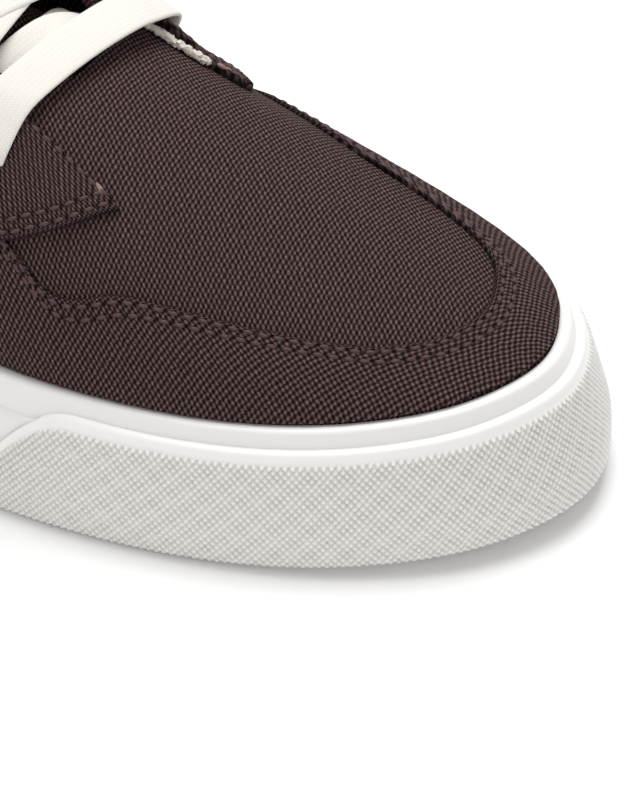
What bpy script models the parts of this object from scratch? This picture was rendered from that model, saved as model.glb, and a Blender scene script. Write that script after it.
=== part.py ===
"""Low canvas skateboarding shoe, right foot, standing empty on its sole.

Heel to toe is +X, the big toe side is +Y, +Z is up, and the origin is under the
middle of the shoe on the floor. Metres throughout.
"""
import math

import bmesh
import bpy
import numpy as np
from mathutils import Vector

# Driving sizes
SHOE_LENGTH = 0.298
BALL_WIDTH = 0.1085
INSTEP_HEIGHT = 0.101
HEEL_HEIGHT = 0.087
GAP = 0.0003

# Sole
TREAD_DEPTH = 0.0022
LUG_MARGIN = 0.0016
OUTSOLE_THICKNESS = 0.0042
MIDSOLE_THICKNESS = 0.0125
TAPE_THICKNESS = 0.0036
TAPE_HEIGHT = 0.0318
TAPE_STEP = 0.0008
TAPE_STEP_DROP = 0.0078
TAPE_EDGE_ROUND = 0.0009
TAPE_FLOOR_CLEARANCE = 0.0006
TAPE_LEAN_START = 0.0090
TAPE_LEAN_SIDE = 0.0036
TAPE_LEAN_TOE = 0.0071
TAPE_LEAN_TOE_START = 0.65
TOE_SPRING = 0.0046
TOE_SPRING_START = 0.70
ARCH_LIFT = 0.0013
ARCH_START = 0.27
ARCH_END = 0.60
BUMPER_THICKNESS = 0.0011
BUMPER_DROP = 0.0040
BUMPER_EDGE_ROUND = 0.0006
BUMPER_GAP = 0.0005
BUMPER_REAR = 8.0
BUMPER_SLANT = 1.45
BUMPER_SLANT_STATIONS = 6
INSOLE_THICKNESS = 0.0040

# Upper
WALL = 0.0016
OVERLAY_THICKNESS = 0.0012
LACE_PANEL_THICKNESS = 0.0020
EYELET_ROWS = 6
EYELET_LATERAL = 0.564
EYELET_MEDIAL = 0.601
EYELET_PITCH = 0.0112
EYELET_HALF = 0.262
EYELET_LATERAL_SPREAD = -0.016
EYELET_MEDIAL_SPREAD = -0.034
EYELET_RADIUS = 0.0024

# Tongue and laces
TONGUE_THICKNESS = 0.0034
LACE_WIDTH = 0.0088
LACE_THICKNESS = 0.0013
LACE_ARCH = 0.0048
LACE_PANEL_SHARE = 0.17
LACE_RISE = 0.0006
INNER_LACE_RISE = 0.0008
INNER_LACE_INSET = 0.17
OVERLAY_FOOT = 0.0010
OVERLAY_CLEARANCE = 0.0005
PUNCH_DEPTH = 0.014

# Resolution
STATIONS = 64
PROFILE_STEPS = 60
TONGUE_STEPS = 13
TONGUE_ACROSS = 8
LACE_END_STEPS = 4
LACE_ARCH_STEPS = 6
LACE_SEARCH_STEPS = 60
INNER_LACE_STEPS = 9
THROAT_STEPS = 160
THROAT_SEARCH = (4.5, 13.0)
THROAT_LOW = 0.68
MIDDLE_UP = np.array((0.33, 0.0, 0.94))

# One row for each section, heel to toe. along, lateral and medial give the tape's
# outline as shares of the length and the ball width. over, half, instep and heel give
# the edge of the collar and throat: its place along the length, its half width as a
# share of the ball width, and its height as shares of the instep and heel heights.
# ramp is the straight share of the rise, square how boxy the shoulder is, and swell
# how far the side stands out, as a share of the ball width.
SECTION_COLUMNS = ("along", "lateral", "medial", "over", "half", "instep", "heel",
                   "ramp", "square", "swell")
SECTIONS = (
    (0.000, 0.000, 0.000, 0.030, 0.000, 0.00, 1.00, 0.80, 2.0, 0.022),
    (0.012, 0.150, 0.145, 0.038, 0.125, 0.00, 0.99, 0.80, 2.0, 0.022),
    (0.045, 0.262, 0.250, 0.068, 0.208, 0.00, 0.96, 0.80, 2.0, 0.024),
    (0.100, 0.330, 0.318, 0.118, 0.250, 0.00, 0.91, 0.80, 2.0, 0.026),
    (0.170, 0.362, 0.350, 0.182, 0.262, 0.02, 0.85, 0.80, 2.0, 0.030),
    (0.270, 0.376, 0.344, 0.270, 0.248, 0.28, 0.58, 0.78, 2.0, 0.026),
    (0.380, 0.396, 0.330, 0.350, 0.205, 0.92, 0.06, 0.62, 2.0, 0.022),
    (0.480, 0.432, 0.350, 0.425, 0.182, 0.955, 0.00, 0.50, 2.1, 0.020),
    (0.570, 0.473, 0.412, 0.488, 0.202, 0.925, 0.00, 0.52, 2.3, 0.018),
    (0.640, 0.499, 0.464, 0.530, 0.190, 0.885, 0.00, 0.62, 2.3, 0.014),
    (0.710, 0.501, 0.496, 0.560, 0.168, 0.865, 0.00, 0.70, 2.3, 0.012),
    (0.780, 0.480, 0.502, 0.580, 0.130, 0.838, 0.00, 0.76, 2.2, 0.011),
    (0.850, 0.428, 0.473, 0.589, 0.096, 0.826, 0.00, 0.81, 2.2, 0.010),
    (0.910, 0.347, 0.410, 0.594, 0.068, 0.820, 0.00, 0.85, 2.1, 0.009),
    (0.955, 0.250, 0.309, 0.597, 0.044, 0.817, 0.00, 0.88, 2.1, 0.008),
    (0.986, 0.129, 0.178, 0.598, 0.021, 0.816, 0.00, 0.90, 2.1, 0.008),
    (1.000, -0.016, 0.016, 0.598, 0.000, 0.816, 0.00, 0.90, 2.1, 0.008),
)

# Edges drawn on each side of the upper. section counts the rows above from the heel,
# and the others are shares of the way up from the tape to the collar or throat: the top
# edge of the overlays, and the low and high edges of the lace panel.
EDGE_COLUMNS = ("section", "overlay", "panel_low", "panel_high")
LATERAL_EDGES = (
    (0.0, 0.62, 0.80, 0.97),
    (2.0, 0.60, 0.79, 0.97),
    (4.0, 0.42, 0.84, 0.97),
    (5.6, 0.42, 0.78, 0.97),
    (6.4, 0.42, 0.62, 0.97),
    (7.2, 0.42, 0.50, 0.97),
    (8.0, 0.41, 0.45, 0.97),
    (8.7, 0.40, 0.45, 0.97),
    (9.2, 0.29, 0.49, 0.95),
    (9.6, 0.30, 0.52, 0.90),
    (10.3, 0.34, 0.58, 0.76),
    (10.8, 0.33, 0.61, 0.67),
    (11.5, 0.295, 0.62, 0.74),
    (12.4, 0.235, 0.62, 0.80),
    (13.3, 0.175, 0.62, 0.84),
    (14.5, 0.145, 0.62, 0.85),
    (16.0, 0.138, 0.62, 0.85),
)
MEDIAL_EDGES = (
    (0.0, 0.62, 0.80, 0.97),
    (2.0, 0.60, 0.79, 0.97),
    (4.0, 0.42, 0.84, 0.97),
    (5.6, 0.42, 0.78, 0.97),
    (6.4, 0.42, 0.62, 0.97),
    (7.2, 0.41, 0.50, 0.97),
    (8.6, 0.40, 0.45, 0.97),
    (9.6, 0.38, 0.48, 0.95),
    (10.2, 0.41, 0.51, 0.86),
    (11.1, 0.44, 0.57, 0.68),
    (12.0, 0.44, 0.60, 0.70),
    (12.8, 0.39, 0.60, 0.76),
    (13.4, 0.27, 0.61, 0.82),
    (14.0, 0.18, 0.62, 0.85),
    (14.6, 0.148, 0.62, 0.85),
    (16.0, 0.138, 0.62, 0.85),
)
OVERLAY_ROWS = 3
VAMP_ROWS = 3
PANEL_ROWS = 3
RIM_ROWS = 2

# Where each overlay runs along the upper, counted in sections from the heel
MUDGUARD_REAR = 6.6
COUNTER_FRONT = 4.0
PANEL_REAR = 5.6
LATERAL_TIP = 10.8
MEDIAL_TIP = 11.2

# Top of the tongue, front to top edge. along is a share of the length, crest of the
# instep height, half and fall of the ball width: half is the half width, and fall is
# how far the edges drop below the crest.
TONGUE = (
    (0.622, 0.735, 0.130, 0.030),
    (0.598, 0.775, 0.185, 0.070),
    (0.570, 0.820, 0.208, 0.105),
    (0.530, 0.870, 0.214, 0.124),
    (0.488, 0.905, 0.214, 0.134),
    (0.425, 0.950, 0.210, 0.138),
    (0.370, 0.985, 0.196, 0.120),
    (0.335, 1.030, 0.190, 0.088),
    (0.305, 1.105, 0.205, 0.070),
    (0.285, 1.190, 0.200, 0.060),
)

LAST_SECTION = len(SECTIONS) - 1


def closed_spline(values):
    """Smooth closed curve through evenly spaced rows of values."""
    rows = np.asarray(values, float)
    count = len(rows)
    matrix = np.zeros((count, count))
    for row in range(count):
        matrix[row, row] = 4.0
        matrix[row, (row + 1) % count] = 1.0
        matrix[row, (row - 1) % count] = 1.0
    bend = 6.0 * (np.roll(rows, 1, 0) - 2.0 * rows + np.roll(rows, -1, 0))
    second = np.linalg.solve(matrix, bend)

    def curve(turn):
        place = np.mod(np.asarray(turn, float), 1.0) * count
        low = np.floor(place).astype(int) % count
        high = (low + 1) % count
        b = (place - np.floor(place))[..., None]
        a = 1.0 - b
        curved = (a ** 3 - a) * second[low] + (b ** 3 - b) * second[high]
        return a * rows[low] + b * rows[high] + curved / 6.0

    return curve


def section_loop():
    """The section rows laid round the shoe: heel, lateral side, toe, medial side."""
    names = {name: place for place, name in enumerate(SECTION_COLUMNS)}
    loop = []
    for place in range(2 * LAST_SECTION):
        lateral = place <= LAST_SECTION
        row = SECTIONS[place if lateral else 2 * LAST_SECTION - place]
        side = -1.0 if lateral else 1.0
        width = row[names["lateral" if lateral else "medial"]]
        height = row[names["instep"]] * INSTEP_HEIGHT + row[names["heel"]] * HEEL_HEIGHT
        loop.append((row[names["along"]] * TAPE_LENGTH,
                     side * width * BALL_WIDTH,
                     row[names["over"]] * SHOE_LENGTH,
                     side * row[names["half"]] * BALL_WIDTH,
                     height,
                     row[names["ramp"]],
                     row[names["square"]],
                     row[names["swell"]] * BALL_WIDTH))
    return loop


TAPE_LENGTH = SHOE_LENGTH - BUMPER_THICKNESS - BUMPER_GAP
SECTION_CURVE = closed_spline(section_loop())
FINE_LOOP = SECTION_CURVE(np.linspace(0.0, 1.0, 2000, endpoint=False))
LENGTH_CENTRE = SHOE_LENGTH / 2.0
WIDTH_CENTRE = (FINE_LOOP[:, 1].max() + FINE_LOOP[:, 1].min()) / 2.0
TURNS = np.arange(STATIONS) / STATIONS


def outline(turns, inset):
    """Points of the tape's outline, moved inward by inset, in the shoe's frame."""
    turns = np.asarray(turns, float)
    step = 1e-4
    place = SECTION_CURVE(turns)[..., :2]
    ahead = SECTION_CURVE(turns + step)[..., :2] - SECTION_CURVE(turns - step)[..., :2]
    ahead /= np.linalg.norm(ahead, axis=-1, keepdims=True)
    inward = np.stack((-ahead[..., 1], ahead[..., 0]), -1)
    return place + inward * inset - (LENGTH_CENTRE, WIDTH_CENTRE)


def share_along(x):
    return (np.asarray(x) + LENGTH_CENTRE) / SHOE_LENGTH


def floor_line(x):
    """Height of the sole's underside: toe spring in front, a low arch behind the ball."""
    share = share_along(x)
    toe = np.clip((share - TOE_SPRING_START) / (1.0 - TOE_SPRING_START), 0.0, 1.0)
    arch = np.clip((share - ARCH_START) / (ARCH_END - ARCH_START), 0.0, 1.0)
    return TOE_SPRING * toe ** 2 + ARCH_LIFT * np.sin(math.pi * arch) ** 2


def tape_top(x):
    return floor_line(x) + TAPE_HEIGHT


def tape_lean(x, height):
    """How far the side has leaned in from the outline at a height over the floor."""
    toe = (share_along(x) - TAPE_LEAN_TOE_START) / (1.0 - TAPE_LEAN_TOE_START)
    toe = np.clip(toe, 0.0, 1.0) ** 2
    full = TAPE_LEAN_SIDE + (TAPE_LEAN_TOE - TAPE_LEAN_SIDE) * toe
    up = (height - floor_line(x) - TAPE_LEAN_START) / (TAPE_HEIGHT - TAPE_LEAN_START)
    return full * np.clip(up, 0.0, None)


def side_ring(turns, inset, height):
    """Ring of points at a height, inset from the leaning side of the sole."""
    middle = outline(turns, 0.0)
    outward = middle - outline(turns, 0.001)
    outward /= np.linalg.norm(outward, axis=1, keepdims=True)
    height = np.broadcast_to(height, (len(middle),))
    depth = tape_lean(middle[:, 0], height) + inset
    return np.column_stack((middle - outward * depth[:, None], height))


def outsole_top(x):
    return floor_line(x) + TREAD_DEPTH + OUTSOLE_THICKNESS


def midsole_top(x):
    return outsole_top(x) + GAP + MIDSOLE_THICKNESS


def insole_top(x):
    return midsole_top(x) + GAP + INSOLE_THICKNESS


def upper_profiles(turns):
    """For each turn, the outer line of the upper from the tape to the collar or throat."""
    turns = np.asarray(turns, float)
    values = SECTION_CURVE(turns)
    middle = outline(turns, 0.0)[:, 0]
    foot_height = tape_top(middle)
    foot = side_ring(turns, TAPE_THICKNESS + GAP, foot_height)[:, :2]
    edge = values[:, 2:4] - (LENGTH_CENTRE, WIDTH_CENTRE)
    rise = values[:, 4] - foot_height
    ramp = values[:, 5][:, None]
    square = values[:, 6][:, None]
    outward = outline(turns, 0.0) - outline(turns, 0.001)
    outward /= np.linalg.norm(outward, axis=1, keepdims=True)
    reach = np.linspace(0.0, 1.0, PROFILE_STEPS)[None, :] ** 2
    lift = ramp * reach + (1.0 - ramp) * np.sqrt(1.0 - (1.0 - reach) ** square)
    swell = values[:, 7][:, None] * 4.0 * lift * (1.0 - lift)
    flat = foot[:, None, :] + (edge - foot)[:, None, :] * reach[..., None]
    flat = flat + outward[:, None, :] * swell[..., None]
    height = foot_height[:, None] + rise[:, None] * lift
    return np.concatenate((flat, height[..., None]), 2)


def profile_travel(profiles):
    steps = np.linalg.norm(np.diff(profiles, axis=1), axis=2)
    return np.concatenate((np.zeros((len(profiles), 1)), np.cumsum(steps, 1)), 1)


def profile_lengths(turns):
    return profile_travel(upper_profiles(turns))[:, -1]


def upper_points(turns, shares):
    """Outer points of the upper; shares has one row of places up the side per turn."""
    profiles = upper_profiles(turns)
    travel = profile_travel(profiles)
    travel /= travel[:, -1:]
    points = np.empty(shares.shape + (3,))
    for place in range(len(turns)):
        for axis in range(3):
            points[place, :, axis] = np.interp(shares[place], travel[place],
                                               profiles[place, :, axis])
    return points


def upper_surface(turns, shares, lift):
    """Points that stand off the upper's outside by lift, which is below zero inside."""
    turn_step = 0.002
    share_step = 0.01
    low = np.clip(shares - share_step, 0.0, 1.0)
    high = np.clip(shares + share_step, 0.0, 1.0)
    up = upper_points(turns, high) - upper_points(turns, low)
    round_ = upper_points(turns + turn_step, shares) - upper_points(turns - turn_step, shares)
    normal = np.cross(round_, up)
    normal /= np.linalg.norm(normal, axis=2, keepdims=True)
    return upper_points(turns, shares) + normal * np.asarray(lift)[..., None]


def section_of(turns):
    """Place of each turn counted in sections from the heel, the same on both sides."""
    turns = np.mod(np.asarray(turns, float), 1.0)
    return np.minimum(turns, 1.0 - turns) * 2.0 * LAST_SECTION


def edge_shares(turns):
    """Shares of the overlay edge and both lace panel edges at each turn."""
    place = section_of(turns)
    lateral = np.mod(turns, 1.0) <= 0.5
    shares = []
    for column in range(1, len(EDGE_COLUMNS)):
        sides = []
        for edges in (LATERAL_EDGES, MEDIAL_EDGES):
            table = np.array(edges)
            sides.append(np.interp(place, table[:, 0], table[:, column]))
        shares.append(np.where(lateral, *sides))
    return shares


def upper_rows(turns):
    """Rows of the upper's grid, which run along every edge drawn on it."""
    overlay, low, high = edge_shares(turns)
    stops = ((0.0 * overlay, OVERLAY_ROWS), (overlay, VAMP_ROWS), (low, PANEL_ROWS),
             (high, RIM_ROWS), (0.0 * overlay + 1.0, 0))
    rows = []
    for (start, count), (end, _) in zip(stops, stops[1:]):
        for step in range(count):
            rows.append(start + (end - start) * step / count)
    rows.append(stops[-1][0])
    return np.stack(rows, 1)


def material(name, colour, roughness):
    made = bpy.data.materials.new(name)
    made.use_nodes = True
    shader = made.node_tree.nodes["Principled BSDF"]
    shader.inputs["Base Color"].default_value = (*colour, 1.0)
    shader.inputs["Roughness"].default_value = roughness
    shader.inputs["Metallic"].default_value = 0.0
    made.diffuse_color = (*colour, 1.0)
    return made


def body_of(name, mesh, finish, crease):
    mesh.materials.append(finish)
    mesh.shade_smooth()
    mesh.set_sharp_from_angle(angle=math.radians(crease))
    body = bpy.data.objects.new(name, mesh)
    bpy.context.collection.objects.link(body)
    return body


def solid(name, points, faces, finish):
    """One closed body with its faces pointing out."""
    mesh = bpy.data.meshes.new(name)
    mesh.from_pydata([tuple(map(float, point)) for point in points], [], faces)
    work = bmesh.new()
    work.from_mesh(mesh)
    bmesh.ops.recalc_face_normals(work, faces=work.faces)
    work.to_mesh(mesh)
    work.free()
    return body_of(name, mesh, finish, 40.0)


def tube(name, rings, closed, finish):
    """Body swept through rings of points, closed round the shoe or capped at both ends."""
    count, corners = rings.shape[:2]
    faces = []
    for place in range(count if closed else count - 1):
        here = place * corners
        there = (place + 1) % count * corners
        for corner in range(corners):
            after = (corner + 1) % corners
            faces.append((here + corner, there + corner, there + after, here + after))
    if not closed:
        faces.append(tuple(range(corners)))
        faces.append(tuple(range((count - 1) * corners, count * corners)))
    return solid(name, rings.reshape(-1, 3), faces, finish)


def shell(name, outer, inner, closed, finish):
    """Wall between two grids of points, closed round the shoe or ended at both sides."""
    count, rows = outer.shape[:2]
    points = np.concatenate((outer.reshape(-1, 3), inner.reshape(-1, 3)))
    base = count * rows
    spans = count if closed else count - 1
    faces = []
    for place in range(spans):
        here = place * rows
        there = (place + 1) % count * rows
        for row in range(rows - 1):
            quad = (here + row, there + row, there + row + 1, here + row + 1)
            faces.append(quad)
            faces.append(tuple(base + corner for corner in reversed(quad)))
        for row in (0, rows - 1):
            rim = (here + row, base + here + row, base + there + row, there + row)
            faces.append(rim if row == 0 else tuple(reversed(rim)))
    if not closed:
        for start in (0, (count - 1) * rows):
            for row in range(rows - 1):
                low, high = start + row, start + row + 1
                faces.append((low, high, base + high, base + low))
    return solid(name, points, faces, finish)


def plate(name, inset, low, high, across, finish, tread=None):
    """Slab inside the tape between two heights that follow the length."""
    middle = outline(TURNS, 0.0)[:, 0]
    half = STATIONS // 2
    work = bmesh.new()
    loops = []
    cells = []
    for level in (low, high):
        ring = side_ring(TURNS, inset, level(middle))
        loop = [work.verts.new(point) for point in ring]
        rungs = [[loop[0]] * (across + 1)]
        for place in range(1, half):
            left, right = ring[place], ring[STATIONS - place]
            rung = [loop[place]]
            for step in range(1, across):
                rung.append(work.verts.new(left + (right - left) * step / across))
            rung.append(loop[STATIONS - place])
            rungs.append(rung)
        rungs.append([loop[half]] * (across + 1))
        loops.append(loop)
        for back, front in zip(rungs, rungs[1:]):
            for step in range(across):
                corners = (back[step], front[step], front[step + 1], back[step + 1])
                face = work.faces.new(list(dict.fromkeys(corners)))
                if level is low and len(face.verts) == 4:
                    cells.append(face)
    for place in range(STATIONS):
        after = (place + 1) % STATIONS
        wall = (loops[0][place], loops[0][after], loops[1][after], loops[1][place])
        work.faces.new(wall)
    bmesh.ops.recalc_face_normals(work, faces=work.faces)
    if tread:
        bmesh.ops.inset_individual(work, faces=cells, thickness=LUG_MARGIN, depth=tread)
    mesh = bpy.data.meshes.new(name)
    work.to_mesh(mesh)
    work.free()
    return body_of(name, mesh, finish, 25.0)


def turns_between(start, end):
    """Grid stations from one section to another, counted from the heel; negative is medial."""
    first = math.ceil(start / (2 * LAST_SECTION) * STATIONS)
    last = math.floor(end / (2 * LAST_SECTION) * STATIONS)
    return np.arange(first, last + 1) / STATIONS


def make_outsole(rubber):
    def tread_top(x):
        return floor_line(x) + TREAD_DEPTH

    plate("outsole", TAPE_THICKNESS + GAP, tread_top, outsole_top, 4, rubber, TREAD_DEPTH)


def make_midsole(foam):
    def bottom(x):
        return outsole_top(x) + GAP

    plate("midsole", TAPE_THICKNESS + GAP, bottom, midsole_top, 2, foam)


def make_insole(cloth):
    def bottom(x):
        return midsole_top(x) + GAP

    inset = TAPE_THICKNESS + GAP + WALL + GAP
    plate("insole", inset, bottom, insole_top, 2, cloth)


def make_foxing(rubber):
    """Two tapes round the side: the upper one thinner, so it steps in above the lower."""
    middle = outline(TURNS, 0.0)[:, 0]
    floor = floor_line(middle) + TAPE_FLOOR_CLEARANCE
    top = tape_top(middle)
    waist = floor_line(middle) + TAPE_LEAN_START
    section = ((0.0, floor),
               (0.0, waist),
               (0.0, top - TAPE_STEP_DROP),
               (TAPE_STEP, top - TAPE_STEP_DROP),
               (TAPE_STEP, top - TAPE_EDGE_ROUND),
               (TAPE_STEP + TAPE_EDGE_ROUND, top),
               (TAPE_THICKNESS, top),
               (TAPE_THICKNESS, waist),
               (TAPE_THICKNESS, floor))
    rings = [side_ring(TURNS, inset, height) for inset, height in section]
    tube("foxing", np.stack(rings, 1), True, rubber)


def make_bumper(rubber):
    """Raised toe strip over the tape, with its rear ends cut on a slant."""
    turns = turns_between(BUMPER_REAR, 2 * LAST_SECTION - BUMPER_REAR)
    near = np.clip(1.0 - np.arange(len(turns)) / BUMPER_SLANT_STATIONS, 0.0, 1.0)
    slant = (near - near[::-1]) * BUMPER_SLANT / (2 * LAST_SECTION)
    outer = -BUMPER_GAP - BUMPER_THICKNESS
    lip = TAPE_STEP - BUMPER_GAP
    floor, waist, top = TAPE_FLOOR_CLEARANCE, TAPE_LEAN_START, TAPE_HEIGHT - BUMPER_DROP
    shelf = TAPE_HEIGHT - TAPE_STEP_DROP + BUMPER_GAP
    section = ((-BUMPER_GAP, floor),
               (outer, floor),
               (outer, waist),
               (outer, (waist + top) / 2.0),
               (outer, top - BUMPER_EDGE_ROUND),
               (outer + BUMPER_EDGE_ROUND, top),
               (lip, top),
               (lip, shelf),
               (-BUMPER_GAP, shelf),
               (-BUMPER_GAP, (waist + top) / 2.0),
               (-BUMPER_GAP, waist))
    rings = []
    for inset, height in section:
        places = turns + slant * ((height - floor) / (top - floor)) ** 2
        level = floor_line(outline(places, 0.0)[:, 0]) + height
        rings.append(side_ring(places, inset, level))
    tube("toe_bumper", np.stack(rings, 1), False, rubber)


def make_upper(canvas):
    """The hollow shell, with a straight skirt behind the tape down to the midsole."""
    rows = upper_rows(TURNS)
    middle = outline(TURNS, 0.0)[:, 0]
    grids = []
    for lift in (0.0, -WALL):
        body = upper_surface(TURNS, rows, np.full(rows.shape, lift))
        inset = TAPE_THICKNESS + GAP - lift
        body[:, 0] = side_ring(TURNS, inset, tape_top(middle))
        low = side_ring(TURNS, inset, midsole_top(middle) + GAP)
        grids.append(np.concatenate((low[:, None, :], body), 1))
    return shell("upper", grids[0], grids[1], True, canvas)


def overlay(name, turns, rows, thickness, finish):
    """A layer of cloth laid on the upper, between chosen rows of its grid."""
    under = upper_surface(turns, rows, np.full(rows.shape, OVERLAY_CLEARANCE))
    over = upper_surface(turns, rows, np.full(rows.shape, OVERLAY_CLEARANCE + thickness))
    return shell(name, over, under, False, finish)


def low_rows(turns):
    """Rows from just over the tape to the overlay edge."""
    rows = upper_rows(turns)[:, :OVERLAY_ROWS + 1].copy()
    rows[:, 0] = OVERLAY_FOOT / profile_lengths(turns)
    return rows


def make_mudguard(canvas):
    turns = turns_between(MUDGUARD_REAR, 2 * LAST_SECTION - MUDGUARD_REAR)
    overlay("mudguard", turns, low_rows(turns), OVERLAY_THICKNESS, canvas)


def make_counter(canvas):
    turns = turns_between(-COUNTER_FRONT, COUNTER_FRONT)
    overlay("heel_counter", turns, low_rows(turns), OVERLAY_THICKNESS, canvas)


def make_lace_panels(canvas):
    full = 2 * LAST_SECTION
    sides = (("lace_panel_lateral", PANEL_REAR, LATERAL_TIP),
             ("lace_panel_medial", full - MEDIAL_TIP, full - PANEL_REAR))
    first = OVERLAY_ROWS + VAMP_ROWS
    panels = []
    for name, start, end in sides:
        turns = turns_between(start, end)
        rows = upper_rows(turns)[:, first:first + PANEL_ROWS + 1]
        panels.append(overlay(name, turns, rows, LACE_PANEL_THICKNESS, canvas))
    return panels


def throat_grid(medial):
    """Fine grid of places on the upper beside the throat, with their points."""
    turns = np.linspace(*THROAT_SEARCH, THROAT_STEPS) / (2 * LAST_SECTION)
    if medial:
        turns = 1.0 - turns
    shares = np.tile(np.linspace(THROAT_LOW, 1.0, THROAT_STEPS), (THROAT_STEPS, 1))
    return turns, shares, upper_points(turns, shares)


def over_upper(grid, x, y):
    """Point on the upper's outside over a point in plan, and the way out of it there."""
    turns, shares, points = grid
    off = np.hypot(points[..., 0] - x, points[..., 1] - y)
    place, row = np.unravel_index(off.argmin(), off.shape)
    turn = turns[place:place + 1]
    share = shares[place:place + 1, row:row + 1]
    base = upper_surface(turn, share, np.zeros((1, 1)))[0, 0]
    out = upper_surface(turn, share, np.ones((1, 1)))[0, 0] - base
    level = base[2] - (out[0] * (x - base[0]) + out[1] * (y - base[1])) / out[2]
    return np.array((x, y, level)), out


def eyelet_places(grids):
    """Centre and outward direction of each eyelet on both sides, front row first."""
    sides = {}
    rows = (("lateral", EYELET_LATERAL, EYELET_LATERAL_SPREAD, -1.0),
            ("medial", EYELET_MEDIAL, EYELET_MEDIAL_SPREAD, 1.0))
    for side, first, spread, sign in rows:
        places = []
        for row in range(EYELET_ROWS):
            x = first * SHOE_LENGTH - LENGTH_CENTRE - row * EYELET_PITCH
            half = EYELET_HALF + spread * row / (EYELET_ROWS - 1)
            y = sign * half * BALL_WIDTH - WIDTH_CENTRE
            places.append(over_upper(grids[side], x, y))
        sides[side] = places
    return sides


def make_eyelet_punch(eyelets):
    """Round punches through the panels and the upper, one for each eyelet."""
    work = bmesh.new()
    for places in eyelets.values():
        for centre, out in places:
            turn = Vector(out).to_track_quat("Z", "Y").to_matrix().to_4x4()
            turn.translation = Vector(centre)
            bmesh.ops.create_cone(work, cap_ends=True, segments=8, radius1=EYELET_RADIUS,
                                  radius2=EYELET_RADIUS, depth=PUNCH_DEPTH, matrix=turn)
    mesh = bpy.data.meshes.new("eyelet_punch")
    work.to_mesh(mesh)
    work.free()
    punch = bpy.data.objects.new("eyelet_punch", mesh)
    bpy.context.collection.objects.link(punch)
    punch.hide_render = True
    punch.display_type = "WIRE"
    return punch


def cut(body, punch):
    modifier = body.modifiers.new("eyelets", "BOOLEAN")
    modifier.operation = "DIFFERENCE"
    modifier.object = punch


def tongue_point(along, across):
    """Top of the tongue; across runs from -1 at the lateral edge to 1."""
    table = np.array(TONGUE)
    order = np.argsort(table[:, 0])
    crest, half, fall = (np.interp(along, table[order, 0], table[order, column])
                         for column in (1, 2, 3))
    x = along * SHOE_LENGTH - LENGTH_CENTRE
    y = across * half * BALL_WIDTH - WIDTH_CENTRE
    z = crest * INSTEP_HEIGHT - fall * BALL_WIDTH * across ** 2
    return np.stack(np.broadcast_arrays(x, y, z), -1)


def tongue_normal(along, across):
    step = 0.004
    back = tongue_point(along - step, across) - tongue_point(along + step, across)
    side = tongue_point(along, across + step) - tongue_point(along, across - step)
    normal = np.cross(back, side)
    normal /= np.linalg.norm(normal, axis=-1, keepdims=True)
    return normal * np.sign(normal[..., 2:3])


def make_tongue(cloth):
    table = np.array(TONGUE)
    along = np.linspace(table[0, 0], table[-1, 0], TONGUE_STEPS)[:, None]
    across = np.linspace(-1.0, 1.0, TONGUE_ACROSS)[None, :]
    top = tongue_point(along, across)
    under = top - tongue_normal(along, across) * TONGUE_THICKNESS
    shell("tongue", top, under, False, cloth)


def strap(path, up, finish, name):
    """Flat lace along a path, its faces square to up."""
    ahead = np.gradient(path, axis=0)
    side = np.cross(up, ahead)
    side /= np.linalg.norm(side, axis=1, keepdims=True)
    face = np.cross(ahead, side)
    face /= np.linalg.norm(face, axis=1, keepdims=True)
    wide = side * LACE_WIDTH / 2.0
    thick = face * LACE_THICKNESS / 2.0
    corners = (path - wide - thick, path + wide - thick, path + wide + thick,
               path - wide + thick)
    return tube(name, np.stack(corners, 1), False, finish)


def panel_share(start, end, grid):
    """How much of the way from one eyelet to another lies over the upper."""
    edge = grid[2][:, -1]
    order = np.argsort(edge[:, 0])
    share = np.linspace(0.0, LACE_PANEL_SHARE, LACE_SEARCH_STEPS)
    flat = start[:2] + (end[:2] - start[:2]) * share[:, None]
    half = np.abs(np.interp(flat[:, 0], edge[order, 0], edge[order, 1]))
    return share[np.abs(flat[:, 1]) >= half][-1]


def outer_lace(start, end, grids, cotton, name):
    """Lace on the lace panels, from one eyelet across to another, arched over the tongue."""
    seat = OVERLAY_CLEARANCE + LACE_PANEL_THICKNESS + LACE_RISE + LACE_THICKNESS / 2.0
    near, far = start[0], end[0]
    rise = panel_share(near, far, grids["lateral"])
    fall = 1.0 - panel_share(far, near, grids["medial"])

    def on_panel(share):
        x, y = near[:2] + (far[:2] - near[:2]) * share
        centre, out = over_upper(grids["lateral" if share < 0.5 else "medial"], x, y)
        return centre + out * seat, out

    places = np.concatenate((np.linspace(0.0, rise, LACE_END_STEPS)[:-1],
                             np.linspace(rise, fall, LACE_ARCH_STEPS),
                             np.linspace(fall, 1.0, LACE_END_STEPS)[1:]))
    low, high = on_panel(rise)[0], on_panel(fall)[0]
    path = []
    ups = []
    for share in places:
        if rise < share < fall:
            between = (share - rise) / (fall - rise)
            arch = LACE_ARCH * (1.0 - (2.0 * between - 1.0) ** 2)
            centre, out = low + (high - low) * between + (0.0, 0.0, arch), MIDDLE_UP
        else:
            centre, out = on_panel(share)
        path.append(centre)
        ups.append(out)
    return strap(np.array(path), np.array(ups), cotton, name)


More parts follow.
